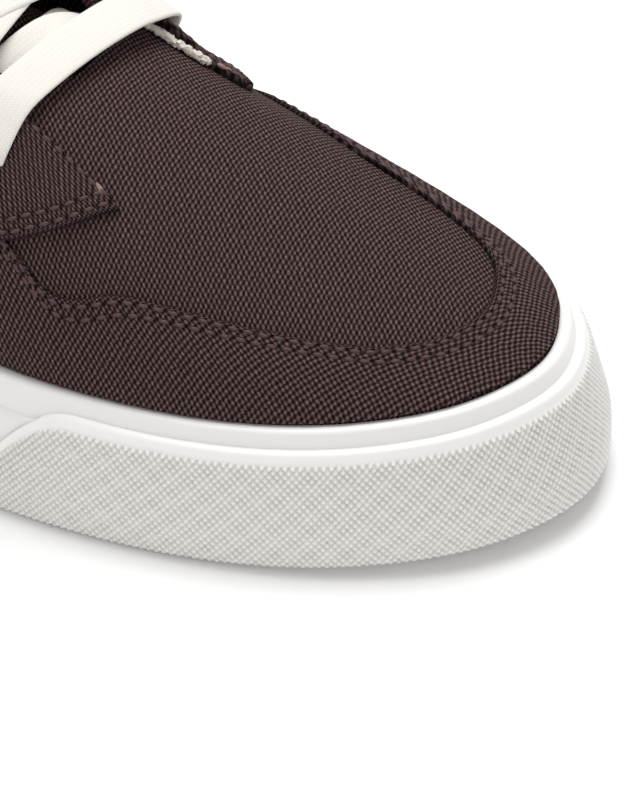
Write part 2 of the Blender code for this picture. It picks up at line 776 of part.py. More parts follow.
def inner_lace(start, end, cotton, name):
    """Lace that lies on the tongue between the throat edges and goes in under them."""
    ends = [centre[:2] + (0.0, WIDTH_CENTRE) for centre, _ in (start, end)]
    share = np.linspace(INNER_LACE_INSET, 1.0 - INNER_LACE_INSET, INNER_LACE_STEPS)[:, None]
    flat = ends[0] + (ends[1] - ends[0]) * share
    along = share_along(flat[:, 0])
    table = np.array(TONGUE)
    order = np.argsort(table[:, 0])
    half = np.interp(along, table[order, 0], table[order, 2]) * BALL_WIDTH
    side = flat[:, 1] / half
    up = tongue_normal(along, side)
    path = tongue_point(along, side) + up * (INNER_LACE_RISE + LACE_THICKNESS / 2.0)
    return strap(path, up, cotton, name)


def join(body, other):
    """Union of two bodies into the first, with the second kept as a guide."""
    modifier = body.modifiers.new("joined", "BOOLEAN")
    modifier.operation = "UNION"
    modifier.object = other
    other.hide_render = True
    other.display_type = "WIRE"


def make_laces(eyelets, grids, cotton):
    """A bar at the front row, then crossings that lie in turn under and over the panels."""
    lateral, medial = eyelets["lateral"], eyelets["medial"]
    outer_lace(lateral[0], medial[0], grids, cotton, "lace_bar")
    for row in range(EYELET_ROWS - 1):
        name = f"lace_crossing_{row + 1}"
        under = f"{name}_under"
        if row % 2 == 0:
            first = inner_lace(lateral[row + 1], medial[row], cotton, name)
            second = inner_lace(lateral[row], medial[row + 1], cotton, under)
        else:
            first = outer_lace(lateral[row + 1], medial[row], grids, cotton, name)
            second = outer_lace(lateral[row], medial[row + 1], grids, cotton, under)
        join(first, second)


def main():
    for old in list(bpy.data.objects):
        bpy.data.objects.remove(old)
    canvas = material("canvas", (0.052, 0.035, 0.036), 0.9)
    overlay_canvas = material("overlay_canvas", (0.048, 0.032, 0.033), 0.9)
    rubber = material("white_rubber", (0.80, 0.79, 0.77), 0.5)
    tread_rubber = material("tread_rubber", (0.76, 0.74, 0.70), 0.6)
    foam = material("midsole_foam", (0.72, 0.70, 0.66), 0.8)
    footbed = material("footbed_cloth", (0.06, 0.05, 0.05), 0.9)
    cotton = material("lace_cotton", (0.86, 0.84, 0.79), 0.8)
    make_outsole(tread_rubber)
    make_midsole(foam)
    make_foxing(rubber)
    make_bumper(rubber)
    make_insole(footbed)
    upper = make_upper(canvas)
    make_mudguard(overlay_canvas)
    make_counter(overlay_canvas)
    panels = make_lace_panels(overlay_canvas)
    make_tongue(canvas)
    grids = {"lateral": throat_grid(False), "medial": throat_grid(True)}
    eyelets = eyelet_places(grids)
    punch = make_eyelet_punch(eyelets)
    for body in (upper, *panels):
        cut(body, punch)
    make_laces(eyelets, grids, cotton)


main()
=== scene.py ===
import math

import bmesh
import bpy
import numpy as np
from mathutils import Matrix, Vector


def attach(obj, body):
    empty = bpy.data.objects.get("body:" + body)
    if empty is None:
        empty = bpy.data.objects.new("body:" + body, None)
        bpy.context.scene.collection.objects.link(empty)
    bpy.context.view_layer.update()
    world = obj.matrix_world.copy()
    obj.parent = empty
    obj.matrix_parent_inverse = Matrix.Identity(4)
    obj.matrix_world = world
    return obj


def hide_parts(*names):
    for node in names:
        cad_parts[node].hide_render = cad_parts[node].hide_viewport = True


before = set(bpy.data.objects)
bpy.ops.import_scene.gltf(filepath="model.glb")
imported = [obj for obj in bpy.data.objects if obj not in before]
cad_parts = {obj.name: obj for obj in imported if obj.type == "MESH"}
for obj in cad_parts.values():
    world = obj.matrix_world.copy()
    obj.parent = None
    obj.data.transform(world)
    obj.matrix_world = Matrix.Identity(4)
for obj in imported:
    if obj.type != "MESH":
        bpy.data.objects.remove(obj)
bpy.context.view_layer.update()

shoe = {
    "length": 0.298,
    "ballWidth": 0.1085,
    "instepHeight": 0.101,
    "heelHeight": 0.087,
    "gap": 0.0003,
}
soleSize = {
    "treadDepth": 0.0022,
    "outsole": 0.0042,
    "midsole": 0.0125,
    "insole": 0.0040,
    "toeSpring": 0.0046,
    "toeSpringStart": 0.70,
    "archLift": 0.0013,
    "archStart": 0.27,
    "archEnd": 0.60,
}
tape = {
    "thickness": 0.0036,
    "height": 0.0318,
    "step": 0.0008,
    "stepDrop": 0.0078,
    "edgeRound": 0.0009,
    "floorClearance": 0.0006,
    "leanStart": 0.0090,
    "leanSide": 0.0036,
    "leanToe": 0.0071,
    "leanToeStart": 0.65,
    "leanSoft": 0.06,
    "sample": 0.00121,
}
cloth = {
    "wall": 0.0016,
    "overlay": 0.0010,
    "lacePanel": 0.0019,
    "clearance": 0.0002,
    "footGap": 0.0006,
    "fold": 0.0008,
    "sway": 0.00006,
    "swayAlong": 900.0,
    "swayAcross": 700.0,
    "sunk": 0.0002,
    "sample": 0.0006,
}
panelStand = {
    "lateral": 0.0004,
    "medial": 0.0028,
    "reach": 0.011,
    "tip": 11.3,
    "tipFade": 0.9,
    "rear": 7.0,
    "rearFade": 1.5,
}

bumper = {
    "gap": 0.0005,
    "thickness": 0.0011,
    "drop": 0.0040,
    "edgeRound": 0.0006,
    "rear": 8.0,
    "slant": 1.45,
    "diamondLength": 0.00172,
    "diamondHeight": 0.0019,
    "pillow": 2.5,
    "relief": 0.00068,
    "margin": 0.0024,
    "marginFade": 0.0006,
    "marginDepth": 0.3,
    "topShare": 0.03,
    "footShare": 0.05,
    "sample": 0.00036,
}

# along, lateral, medial, over, half, instep, heel, ramp, square, swell, heel to toe
sections = (
    (0.000, 0.000, 0.000, 0.030, 0.000, 0.00, 1.00, 0.80, 2.0, 0.022),
    (0.012, 0.150, 0.145, 0.038, 0.125, 0.00, 0.99, 0.80, 2.0, 0.022),
    (0.045, 0.262, 0.250, 0.068, 0.208, 0.00, 0.96, 0.80, 2.0, 0.024),
    (0.100, 0.330, 0.318, 0.118, 0.250, 0.00, 0.91, 0.80, 2.0, 0.026),
    (0.170, 0.362, 0.350, 0.182, 0.262, 0.02, 0.85, 0.80, 2.0, 0.030),
    (0.270, 0.376, 0.344, 0.270, 0.248, 0.28, 0.58, 0.78, 2.0, 0.026),
    (0.380, 0.396, 0.330, 0.350, 0.205, 0.92, 0.06, 0.62, 2.0, 0.022),
    (0.480, 0.432, 0.350, 0.425, 0.182, 0.955, 0.00, 0.50, 2.1, 0.020),
    (0.570, 0.473, 0.412, 0.488, 0.202, 0.925, 0.00, 0.52, 2.3, 0.018),
    (0.640, 0.499, 0.464, 0.530, 0.190, 0.885, 0.00, 0.62, 2.3, 0.014),
    (0.710, 0.501, 0.496, 0.560, 0.168, 0.865, 0.00, 0.70, 2.3, 0.012),
    (0.780, 0.480, 0.502, 0.580, 0.130, 0.838, 0.00, 0.76, 2.2, 0.011),
    (0.850, 0.428, 0.473, 0.589, 0.096, 0.826, 0.00, 0.81, 2.2, 0.010),
    (0.910, 0.347, 0.410, 0.594, 0.068, 0.820, 0.00, 0.85, 2.1, 0.009),
    (0.955, 0.250, 0.309, 0.597, 0.044, 0.817, 0.00, 0.88, 2.1, 0.008),
    (0.986, 0.129, 0.178, 0.598, 0.021, 0.816, 0.00, 0.90, 2.1, 0.008),
    (1.000, -0.016, 0.016, 0.598, 0.000, 0.816, 0.00, 0.90, 2.1, 0.008),
)

# section, overlay edge, lace panel's low edge and high edge
lateralEdges = (
    (0.0, 0.62, 0.80, 0.97),
    (2.0, 0.60, 0.79, 0.97),
    (4.0, 0.42, 0.84, 0.97),
    (5.6, 0.42, 0.78, 0.97),
    (6.4, 0.42, 0.62, 0.97),
    (7.2, 0.42, 0.50, 0.97),
    (8.25, 0.42, 0.43, 0.97),
    (8.5, 0.465, 0.43, 0.97),
    (8.88, 0.465, 0.435, 0.97),
    (9.06, 0.36, 0.45, 0.965),
    (9.25, 0.297, 0.472, 0.955),
    (9.6, 0.292, 0.497, 0.93),
    (10.3, 0.34, 0.555, 0.81),
    (10.8, 0.33, 0.592, 0.70),
    (11.15, 0.315, 0.605, 0.62),
    (11.5, 0.295, 0.62, 0.74),
    (12.4, 0.235, 0.62, 0.80),
    (13.3, 0.175, 0.62, 0.84),
    (14.5, 0.145, 0.62, 0.85),
    (16.0, 0.138, 0.62, 0.85),
)
medialEdges = (
    (0.0, 0.62, 0.80, 0.97),
    (2.0, 0.60, 0.79, 0.97),
    (4.0, 0.42, 0.84, 0.97),
    (5.6, 0.42, 0.78, 0.97),
    (6.4, 0.42, 0.62, 0.97),
    (7.2, 0.41, 0.50, 0.97),
    (8.6, 0.40, 0.45, 0.97),
    (9.6, 0.38, 0.48, 0.95),
    (10.2, 0.41, 0.51, 0.88),
    (11.0, 0.44, 0.56, 0.71),
    (11.5, 0.44, 0.585, 0.60),
    (12.0, 0.44, 0.60, 0.70),
    (12.8, 0.39, 0.60, 0.76),
    (13.4, 0.27, 0.61, 0.82),
    (14.0, 0.18, 0.62, 0.85),
    (14.6, 0.148, 0.62, 0.85),
    (16.0, 0.138, 0.62, 0.85),
)

lastSection = len(sections) - 1
wholeLoop = 2 * lastSection
tapeLength = shoe["length"] - bumper["thickness"] - bumper["gap"]
lengthCentre = shoe["length"] / 2


def unit(vectors):
    return vectors / np.linalg.norm(vectors, axis=-1, keepdims=True)


def eased(share):
    # nought to one with a soft start and a soft end
    return share * share * (3 - 2 * share)


def bell(reach, width):
    weight = np.exp(-(np.arange(-reach, reach + 1) / width) ** 2)
    return weight / weight.sum()


def rounded(line, reach, width):
    # evenly spaced values with their corners rounded and their ends kept
    padded = np.concatenate((2 * line[0] - line[reach:0:-1], line,
                             2 * line[-1] - line[-2:-reach - 2:-1]))
    return np.convolve(padded, bell(reach, width), mode="valid")


def travelled(points):
    # length of a line up to each of its points
    steps = np.linalg.norm(np.diff(points, axis=0), axis=1)
    return np.concatenate(((0.0,), np.cumsum(steps)))


def closedSpline(values):
    # smooth closed curve through evenly spaced rows of values
    rows = np.asarray(values, float)
    count = len(rows)
    matrix = np.zeros((count, count))
    for row in range(count):
        matrix[row, row] = 4.0
        matrix[row, (row + 1) % count] = 1.0
        matrix[row, (row - 1) % count] = 1.0
    bend = 6.0 * (np.roll(rows, 1, 0) - 2.0 * rows + np.roll(rows, -1, 0))
    second = np.linalg.solve(matrix, bend)

    def curve(turn):
        place = np.mod(np.asarray(turn, float), 1.0) * count
        low = np.floor(place).astype(int) % count
        high = (low + 1) % count
        b = (place - np.floor(place))[..., None]
        a = 1.0 - b
        curved = (a ** 3 - a) * second[low] + (b ** 3 - b) * second[high]
        return a * rows[low] + b * rows[high] + curved / 6.0

    return curve


def sectionLoop():
    # the sections in lengths, heel to toe on the lateral side and back on the medial side
    loop = []
    for place in range(wholeLoop):
        lateral = place <= lastSection
        row = sections[place if lateral else wholeLoop - place]
        along, left, right, over, half, instep, heel, ramp, square, swell = row
        side = -1.0 if lateral else 1.0
        loop.append((along * tapeLength,
                     side * (left if lateral else right) * shoe["ballWidth"],
                     over * shoe["length"],
                     side * half * shoe["ballWidth"],
                     instep * shoe["instepHeight"] + heel * shoe["heelHeight"],
                     ramp,
                     square,
                     swell * shoe["ballWidth"]))
    return loop


sectionCurve = closedSpline(sectionLoop())
fineLoop = sectionCurve(np.linspace(0.0, 1.0, 2000, endpoint=False))
widthCentre = (fineLoop[:, 1].max() + fineLoop[:, 1].min()) / 2
centre = np.array((lengthCentre, widthCentre))


def outwardAt(turns):
    step = 1e-4
    ahead = unit(sectionCurve(turns + step)[..., :2] - sectionCurve(turns - step)[..., :2])
    return np.stack((ahead[..., 1], -ahead[..., 0]), -1)


def outline(turns, outset=0.0):
    # the tape's outer edge in plan, seen round the whole shoe
    turns = np.asarray(turns, float)
    return sectionCurve(turns)[..., :2] + outwardAt(turns) * outset - centre


def shareAlong(x):
    return (np.asarray(x) + lengthCentre) / shoe["length"]


def floorLine(x):
    # height of the sole's underside over the floor: toe spring and arch
    share = shareAlong(x)
    start = soleSize["toeSpringStart"]
    toe = np.clip((share - start) / (1.0 - start), 0.0, 1.0)
    arch = (share - soleSize["archStart"]) / (soleSize["archEnd"] - soleSize["archStart"])
    arch = np.clip(arch, 0.0, 1.0)
    lift = soleSize["archLift"] * np.sin(math.pi * arch) ** 2
    return soleSize["toeSpring"] * toe ** 2 + lift


def tapeTop(x):
    return floorLine(x) + tape["height"]


def tapeLean(x, height):
    # how far the tape leans in at a height, most at the toe
    start = tape["leanToeStart"]
    toe = np.clip((shareAlong(x) - start) / (1.0 - start), 0.0, 1.0) ** 2
    full = tape["leanSide"] + (tape["leanToe"] - tape["leanSide"]) * toe
    up = (height - floorLine(x) - tape["leanStart"]) / (tape["height"] - tape["leanStart"])
    soft = tape["leanSoft"]
    return full * 0.5 * (up + np.sqrt(up ** 2 + soft ** 2)) * (1.0 - soft / 2)


def sideRing(turns, inset, height):
    # ring of points on the leaning side of the sole, at a depth in from its face
    middle = outline(turns)
    height = np.broadcast_to(height, (len(middle),))
    depth = tapeLean(middle[:, 0], height) + inset
    return np.column_stack((middle - outwardAt(turns) * depth[:, None], height))


def midsoleTop(x):
    build = soleSize["treadDepth"] + soleSize["outsole"] + soleSize["midsole"]
    return floorLine(x) + build + shoe["gap"]


upper = {
    "stations": 560,
    "rows": 64,
    "rowShift": 0.9,
    "profileSteps": 140,
    "collarFill": 0.0032,
    "collarFront": 5.4,
    "collarFade": 2.0,
    "collarShare": 0.80,
    "collarSpread": 0.17,
    "vampRear": 7.4,
    "vampRadius": 0.046,
    "vampStretch": 1.1,
}


def upperProfiles(turns):
    # for each turn, the outer line of the upper from the tape to the collar or throat
    turns = np.asarray(turns, float)
    values = sectionCurve(turns)
    middle = outline(turns)
    footHeight = tapeTop(middle[:, 0])
    foot = sideRing(turns, tape["thickness"] + shoe["gap"], footHeight)[:, :2]
    edge = values[:, 2:4] - centre
    rise = values[:, 4] - footHeight
    ramp = values[:, 5][:, None]
    square = values[:, 6][:, None]
    reach = np.linspace(0.0, 1.0, upper["profileSteps"])[None, :] ** 2
    lift = ramp * reach + (1.0 - ramp) * np.sqrt(1.0 - (1.0 - reach) ** square)
    swell = values[:, 7][:, None] * 4.0 * lift * (1.0 - lift)
    flat = foot[:, None, :] + (edge - foot)[:, None, :] * reach[..., None]
    flat = flat + outwardAt(turns)[:, None, :] * swell[..., None]
    height = footHeight[:, None] + rise[:, None] * lift
    return np.concatenate((flat, height[..., None]), 2)


def profileTravel(profiles):
    steps = np.linalg.norm(np.diff(profiles, axis=1), axis=2)
    return np.concatenate((np.zeros((len(profiles), 1)), np.cumsum(steps, 1)), 1)


def profileLengths(turns):
    return profileTravel(upperProfiles(turns))[:, -1]


def upperPoints(turns, shares):
    # points on the upper at shares of each profile's length
    profiles = upperProfiles(turns)
    travel = profileTravel(profiles)
    travel /= travel[:, -1:]
    points = np.empty(shares.shape + (3,))
    for place in range(len(turns)):
        for axis in range(3):
            points[place, :, axis] = np.interp(shares[place], travel[place],
                                               profiles[place, :, axis])
    return points


def upperNormals(turns, shares):
    turnStep, shareStep = 0.002, 0.01
    low = np.clip(shares - shareStep, 0.0, 1.0)
    high = np.clip(shares + shareStep, 0.0, 1.0)
    up = upperPoints(turns, high) - upperPoints(turns, low)
    ahead = upperPoints(turns + turnStep, shares) - upperPoints(turns - turnStep, shares)
    return unit(np.cross(ahead, up))


def sectionOf(turns):
    # section number at each turn, the same on both sides of the shoe
    turns = np.mod(np.asarray(turns, float), 1.0)
    return np.minimum(turns, 1.0 - turns) * wholeLoop


def smoothEdge(rows, column):
    # the edge's shares at fine steps, with its corners rounded
    table = np.array(rows)
    beyond, steps, reach, width = 2.0, 1200, 40, 12.0
    fine = np.linspace(-beyond, lastSection + beyond, steps)
    folded = np.abs(fine)
    folded = np.where(folded > lastSection, wholeLoop - folded, folded)
    values = np.interp(folded, table[:, 0], table[:, column])
    padded = np.pad(values, reach, mode="edge")
    return fine, np.convolve(padded, bell(reach, width), mode="valid")


edgeCurves = {}
for side, rows in (("lateral", lateralEdges), ("medial", medialEdges)):
    for column, name in enumerate(("overlay", "panelLow", "panelHigh"), 1):
        edgeCurves[side, name] = smoothEdge(rows, column)


def edgeShare(turns, name):
    if name == "rim":
        return np.ones(len(turns))
    place = sectionOf(turns)
    lateral = np.mod(turns, 1.0) <= 0.5
    left = np.interp(place, *edgeCurves["lateral", name])
    right = np.interp(place, *edgeCurves["medial", name])
    return np.where(lateral, left, right)


def evenTurns(start, end, line, step):
    # turns from one section to another whose points on a line are evenly spaced
    fine = np.linspace(start, end, 1600) / wholeLoop
    travel = travelled(line(fine))
    count = max(int(round(travel[-1] / step)), 2)
    places = np.linspace(0.0, travel[-1], count + 1)
    return np.interp(places, travel, fine), places


def pastEdge(turns, edge, past):
    # shares of the profiles at a length past one of the upper's edges
    return np.minimum(edgeShare(turns, edge) + past / profileLengths(turns), 1.0)[:, None]


def edgeLine(edge, past=0.0):
    def line(turns):
        return upperPoints(turns, pastEdge(turns, edge, past))[:, 0]

    return line


def placeObject(name, data):
    body = bpy.data.objects.new(name, data)
    bpy.context.collection.objects.link(body)
    return body


def meshObject(name, points, faces, material, uv=None):
    mesh = bpy.data.meshes.new(name)
    mesh.from_pydata(np.asarray(points).tolist(), [], faces)
    if uv is not None:
        corners = np.empty(len(mesh.loops), int)
        mesh.loops.foreach_get("vertex_index", corners)
        layer = mesh.uv_layers.new(name="weave")
        layer.data.foreach_set("uv", np.asarray(uv)[corners].astype(np.float32).ravel())
    work = bmesh.new()
    work.from_mesh(mesh)
    bmesh.ops.recalc_face_normals(work, faces=work.faces)
    work.to_mesh(mesh)
    work.free()
    mesh.shade_smooth()
    mesh.set_sharp_from_angle(angle=math.radians(50.0))
    mesh.materials.append(material)
    return placeObject(name, mesh)


def addValues(body, name, values):
    # one number at each of the mesh's points, for its material
    layer = body.data.attributes.new(name, "FLOAT", "POINT")
    layer.data.foreach_set("value", values.ravel().astype(np.float32))


def applyModifiers(body):
    # the object's finished shape becomes its plain mesh
    bpy.context.view_layer.update()
    ready = body.evaluated_get(bpy.context.evaluated_depsgraph_get())
    made = bpy.data.meshes.new_from_object(ready)
    body.modifiers.clear()
    body.data = made


def fitPiece(body, node=None):
    # hand over a finished piece, with the solid that it stands for
    if node:
        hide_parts(node)
    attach(body, "root")


def sweptBody(name, rings, closed, material, uv=None):
    # body through rings of points, closed round the shoe or capped at both ends
    count, corners = rings.shape[:2]
    faces = []
    for place in range(count if closed else count - 1):
        here = place * corners
        there = (place + 1) % count * corners
        for corner in range(corners):
            after = (corner + 1) % corners
            faces.append((here + corner, there + corner, there + after, here + after))
    if not closed:
        faces.append(tuple(range(corners)))
        faces.append(tuple(range((count - 1) * corners, count * corners)))
    flat = None if uv is None else uv.reshape(-1, 2)
    return meshObject(name, rings.reshape(-1, 3), faces, material, flat)


def clothBody(name, outer, inner, closed, material, uv):
    # wall between two grids of points, closed round the shoe or ended at both sides
    count, rows = outer.shape[:2]
    base = count * rows
    faces = []
    for place in range(count if closed else count - 1):
        here = place * rows
        there = (place + 1) % count * rows
        for row in range(rows - 1):
            quad = (here + row, there + row, there + row + 1, here + row + 1)
            faces.append(quad)
            faces.append(tuple(base + corner for corner in reversed(quad)))
        for row in (0, rows - 1):
            faces.append((here + row, base + here + row, base + there + row, there + row))
    if not closed:
        for start in (0, (count - 1) * rows):
            for row in range(rows - 1):
                low, high = start + row, start + row + 1
                faces.append((low, high, base + high, base + low))
    points = np.concatenate((outer.reshape(-1, 3), inner.reshape(-1, 3)))
    flat = uv.reshape(-1, 2)
    return meshObject(name, points, faces, material, np.concatenate((flat, flat)))


def colour(code):
    # sRGB hex to linear, with full alpha
    parts = [int(code[place:place + 2], 16) / 255 for place in (1, 3, 5)]
    linear = [part / 12.92 if part <= 0.04045 else ((part + 0.055) / 1.055) ** 2.4
              for part in parts]
    return (*linear, 1.0)


def addNode(tree, kind, values=None, links=None, **settings):
    # node with its settings, its inputs' values and the sockets linked to them
    node = tree.nodes.new(kind)
    for name, value in settings.items():
        setattr(node, name, value)
    for name, value in (values or {}).items():
        node.inputs[name].default_value = value
    for name, socket in (links or {}).items():
        tree.links.new(socket, node.inputs[name])
    return node


def mathNode(tree, operation, a, b=None):
    # one math node whose inputs are sockets or numbers
    node = tree.nodes.new("ShaderNodeMath")
    node.operation = operation
    for place, value in enumerate((a, b)):
        if isinstance(value, bpy.types.NodeSocket):
            tree.links.new(value, node.inputs[place])
        elif value is not None:
            node.inputs[place].default_value = value
    return node.outputs[0]


def noiseNode(tree, place, scale, detail=3.0, roughness=0.5):
    values = {"Scale": scale, "Detail": detail, "Roughness": roughness}
    return addNode(tree, "ShaderNodeTexNoise", values, {"Vector": place})


def addBump(tree, shader, height, strength, distance):
    values = {"Strength": strength, "Distance": distance}
    bump = addNode(tree, "ShaderNodeBump", values, {"Height": height})
    tree.links.new(bump.outputs[0], shader.inputs["Normal"])


def newMaterial(name, inputs):
    # material with even values set on its shader
    material = bpy.data.materials.new(name)
    material.use_nodes = True
    shader = material.node_tree.nodes["Principled BSDF"]
    for socket, value in inputs.items():
        shader.inputs[socket].default_value = value
    return material, shader


canvas = {
    "finePitch": 0.66,
    "coarsePitch": 1.17,
    "wanderScale": 0.5,
    "wander": 0.8,
    "plump": 0.75,
    "fuzzScale": 2.6,
    "fuzz": 0.75,
    # gap is painted shade between the threads, body is the dye, top is a painted highlight on the
    # thread tops
    "gap": "#110809",
    "body": "#322324",
    "top": "#745e5c",
    "gapHeight": 0.10,
    "bodyHeight": 0.55,
    "mottleScale": 1.5,
    "mottleDark": 0.62,
    "mottleLight": 1.42,
    "seamShade": 0.78,
    "bump": 0.00026,
    "roughness": 0.92,
    "gloss": 0.12,
}


def weaveHeight(tree, angleFine, angleCoarse):
    # height of a plain weave of fine threads over coarse ones, and its place in millimetres
    place = addNode(tree, "ShaderNodeUVMap", uv_map="weave").outputs[0]
    wander = noiseNode(tree, place, canvas["wanderScale"]).outputs["Color"]
    amount = (canvas["wander"], canvas["wander"], 0.0)
    shifted = addNode(tree, "ShaderNodeVectorMath", {1: amount}, {0: wander},
                      operation="MULTIPLY").outputs[0]
    moved = addNode(tree, "ShaderNodeVectorMath", None, {0: place, 1: shifted},
                    operation="ADD").outputs[0]
    waves = []
    for angle, pitch in ((angleFine, canvas["finePitch"]), (angleCoarse, canvas["coarsePitch"])):
        turn = math.radians(angle)
        across = (math.cos(turn) * math.pi / pitch, math.sin(turn) * math.pi / pitch, 0.0)
        phase = addNode(tree, "ShaderNodeVectorMath", {1: across}, {0: moved},
                        operation="DOT_PRODUCT")
        waves.append(mathNode(tree, "SINE", phase.outputs["Value"]))
    crossing = mathNode(tree, "MULTIPLY", waves[0], waves[1])
    raised = mathNode(tree, "ADD", mathNode(tree, "MULTIPLY", crossing, 0.5), 0.5)
    return mathNode(tree, "POWER", raised, canvas["plump"]), moved


def canvasMaterial(name, angleFine, angleCoarse):
    # dense plain-weave cotton canvas, dyed dark brown, with painted highlight on the thread tops,
    # painted shade in the gaps between threads, and painted shade along seams and folded edges
    material, shader = newMaterial(name, {"Roughness": canvas["roughness"],
                                          "Specular IOR Level": canvas["gloss"]})
    tree = material.node_tree
    height, place = weaveHeight(tree, angleFine, angleCoarse)
    fuzz = noiseNode(tree, place, canvas["fuzzScale"], roughness=0.65).outputs[0]
    fuzz = mathNode(tree, "MULTIPLY", mathNode(tree, "SUBTRACT", fuzz, 0.5), canvas["fuzz"])
    height = mathNode(tree, "ADD", height, fuzz)
    # colour by weave height: painted shade in the gaps, the dye in between, painted highlight on
    # the thread tops
    ramp = addNode(tree, "ShaderNodeValToRGB", None, {"Fac": height})
    stops = ramp.color_ramp.elements
    stops[0].position = canvas["gapHeight"]
    stops[0].color = colour(canvas["gap"])
    stops[1].position = 1.0
    stops[1].color = colour(canvas["top"])
    body = stops.new(canvas["bodyHeight"])
    body.color = colour(canvas["body"])
    mottle = noiseNode(tree, place, canvas["mottleScale"], roughness=0.8).outputs[0]
    amount = addNode(tree, "ShaderNodeMapRange",
                     {"From Min": 0.3, "From Max": 0.7, "To Min": canvas["mottleDark"],
                      "To Max": canvas["mottleLight"]}, {"Value": mottle}).outputs[0]
    # painted shade at the needle holes, along the rows of stitches and on the folded edges' walls,
    # read from the mesh
    paintedSeamShade = addNode(tree, "ShaderNodeAttribute", attribute_name="paintedSeamShade").outputs["Fac"]
    light = mathNode(tree, "MULTIPLY", paintedSeamShade, canvas["seamShade"])
    light = mathNode(tree, "MULTIPLY", mathNode(tree, "SUBTRACT", 1.0, light), amount)
    shade = addNode(tree, "ShaderNodeVectorMath", None,
                    {0: ramp.outputs[0], "Scale": light}, operation="SCALE")
    tree.links.new(shade.outputs[0], shader.inputs["Base Color"])
    addBump(tree, shader, height, 1.0, canvas["bump"])
    return material


rubber = {
    "white": "#f5f3f1",
    "bumper": "#fdfbf8",
    # colour of the painted shade in the bumper's grooves
    "grooveShade": "#cdc9c4",
    "tread": "#e6e2da",
    "foam": "#e8e4da",
    "roughness": 0.42,
    "scatter": 0.08,
    "scatterRadius": (0.6, 0.5, 0.45),
    "scatterScale": 0.0006,
    "grainScale": 900.0,
    "grain": 0.12,
    "grainDepth": 0.0002,
}


def rubberMaterial(name, code, roughness):
    # moulded white rubber, slightly translucent, with painted shade in the grooves where its
    # groove value is high
    material, shader = newMaterial(name, {"Roughness": roughness,
                                          "Subsurface Weight": rubber["scatter"],
                                          "Subsurface Radius": rubber["scatterRadius"],
                                          "Subsurface Scale": rubber["scatterScale"]})
    tree = material.node_tree
    place = addNode(tree, "ShaderNodeTexCoord").outputs["Object"]
    grain = noiseNode(tree, place, rubber["grainScale"]).outputs[0]
    addBump(tree, shader, grain, rubber["grain"], rubber["grainDepth"])
    # painted shade in the bumper's grooves, read from the mesh
    grooveShade = addNode(tree, "ShaderNodeAttribute", attribute_name="grooveShade").outputs["Fac"]
    base = addNode(tree, "ShaderNodeMix", {6: colour(code), 7: colour(rubber["grooveShade"])},
                   {0: grooveShade}, data_type="RGBA")  # 6 and 7 are the mix's two colours
    tree.links.new(base.outputs[2], shader.inputs["Base Color"])
    return material


lace = {
    "colour": "#f3f0ea",
    "shadow": "#cdc7bb",
    "ribPitch": 0.75,
    "columnPitch": 1.1,
    "columnHeight": 0.3,
    "fuzzScale": 5.0,
    "fuzz": 0.8,
    "bump": 0.00012,
    "roughness": 0.85,
    "scatter": 0.15,
    "width": 0.0104,
    "thickness": 0.0015,
    "holeWidth": 0.0048,
    "holeThickening": 0.6,
    "bunchStart": 0.0015,
    "bunchLength": 0.0040,
    "arch": 0.0018,
    "rise": 0.0003,
    "outerTuck": 0.0026,
    "innerTuck": 0.0040,
    "innerGap": 0.0006,
    "innerRise": {"Over": (0.0044, 0.0062, 0.0062), "Under": (0.0026, 0.0036, 0.0036)},
    "innerInset": 0.18,
    "steps": 70,
    "corners": 20,
    "flatFace": 0.45,
    "roundEdge": 0.6,
    "innerPoints": 40,
    "outerPoints": 60,
}


def laceMaterial(name):
    # flat woven cotton lace: fine slanted ribs that meet along the middle, with painted shade
    # between the ribs
    material, shader = newMaterial(name, {"Roughness": lace["roughness"],
                                          "Subsurface Weight": lace["scatter"],
                                          "Subsurface Radius": (0.7, 0.6, 0.5),
                                          "Subsurface Scale": 0.002})
    tree = material.node_tree
    place = addNode(tree, "ShaderNodeUVMap", uv_map="weave").outputs[0]
    parts = addNode(tree, "ShaderNodeSeparateXYZ", None, {0: place})
    across = mathNode(tree, "PINGPONG", parts.outputs[1], lace["columnPitch"])
    waves = []
    for way, pitch in ((mathNode(tree, "ADD", parts.outputs[0], across), lace["ribPitch"]),
                       (parts.outputs[1], lace["columnPitch"])):
        waves.append(mathNode(tree, "SINE", mathNode(tree, "MULTIPLY", way, 2 * math.pi / pitch)))
    columns = mathNode(tree, "MULTIPLY", waves[1], lace["columnHeight"])
    height = mathNode(tree, "ADD", waves[0], columns)
    height = mathNode(tree, "MULTIPLY", mathNode(tree, "ADD", height, 1.6), 0.31)  # to under one
    # painted shade in the valleys between the ribs, mixed towards the lace's shadow colour
    paintedRibShade = mathNode(tree, "ADD", mathNode(tree, "MULTIPLY", height, 0.5), 0.5)
    mix = addNode(tree, "ShaderNodeMix", {6: colour(lace["shadow"]), 7: colour(lace["colour"])},
                  {0: paintedRibShade}, data_type="RGBA")
    tree.links.new(mix.outputs[2], shader.inputs["Base Color"])
    fuzz = noiseNode(tree, place, lace["fuzzScale"], 4.0).outputs[0]
    relief = mathNode(tree, "ADD", height, mathNode(tree, "MULTIPLY", fuzz, lace["fuzz"]))
    addBump(tree, shader, relief, 0.45, lace["bump"])
    return material


def plainMaterial(name, code, roughness=0.85, grainScale=1500.0, grain=0.3):
    # plain cloth, thread or binding with a fine grain
    material, shader = newMaterial(name, {"Base Color": colour(code), "Roughness": roughness})
    tree = material.node_tree
    place = addNode(tree, "ShaderNodeTexCoord").outputs["Object"]
    addBump(tree, shader, noiseNode(tree, place, grainScale).outputs[0], grain, 0.0003)
    return material


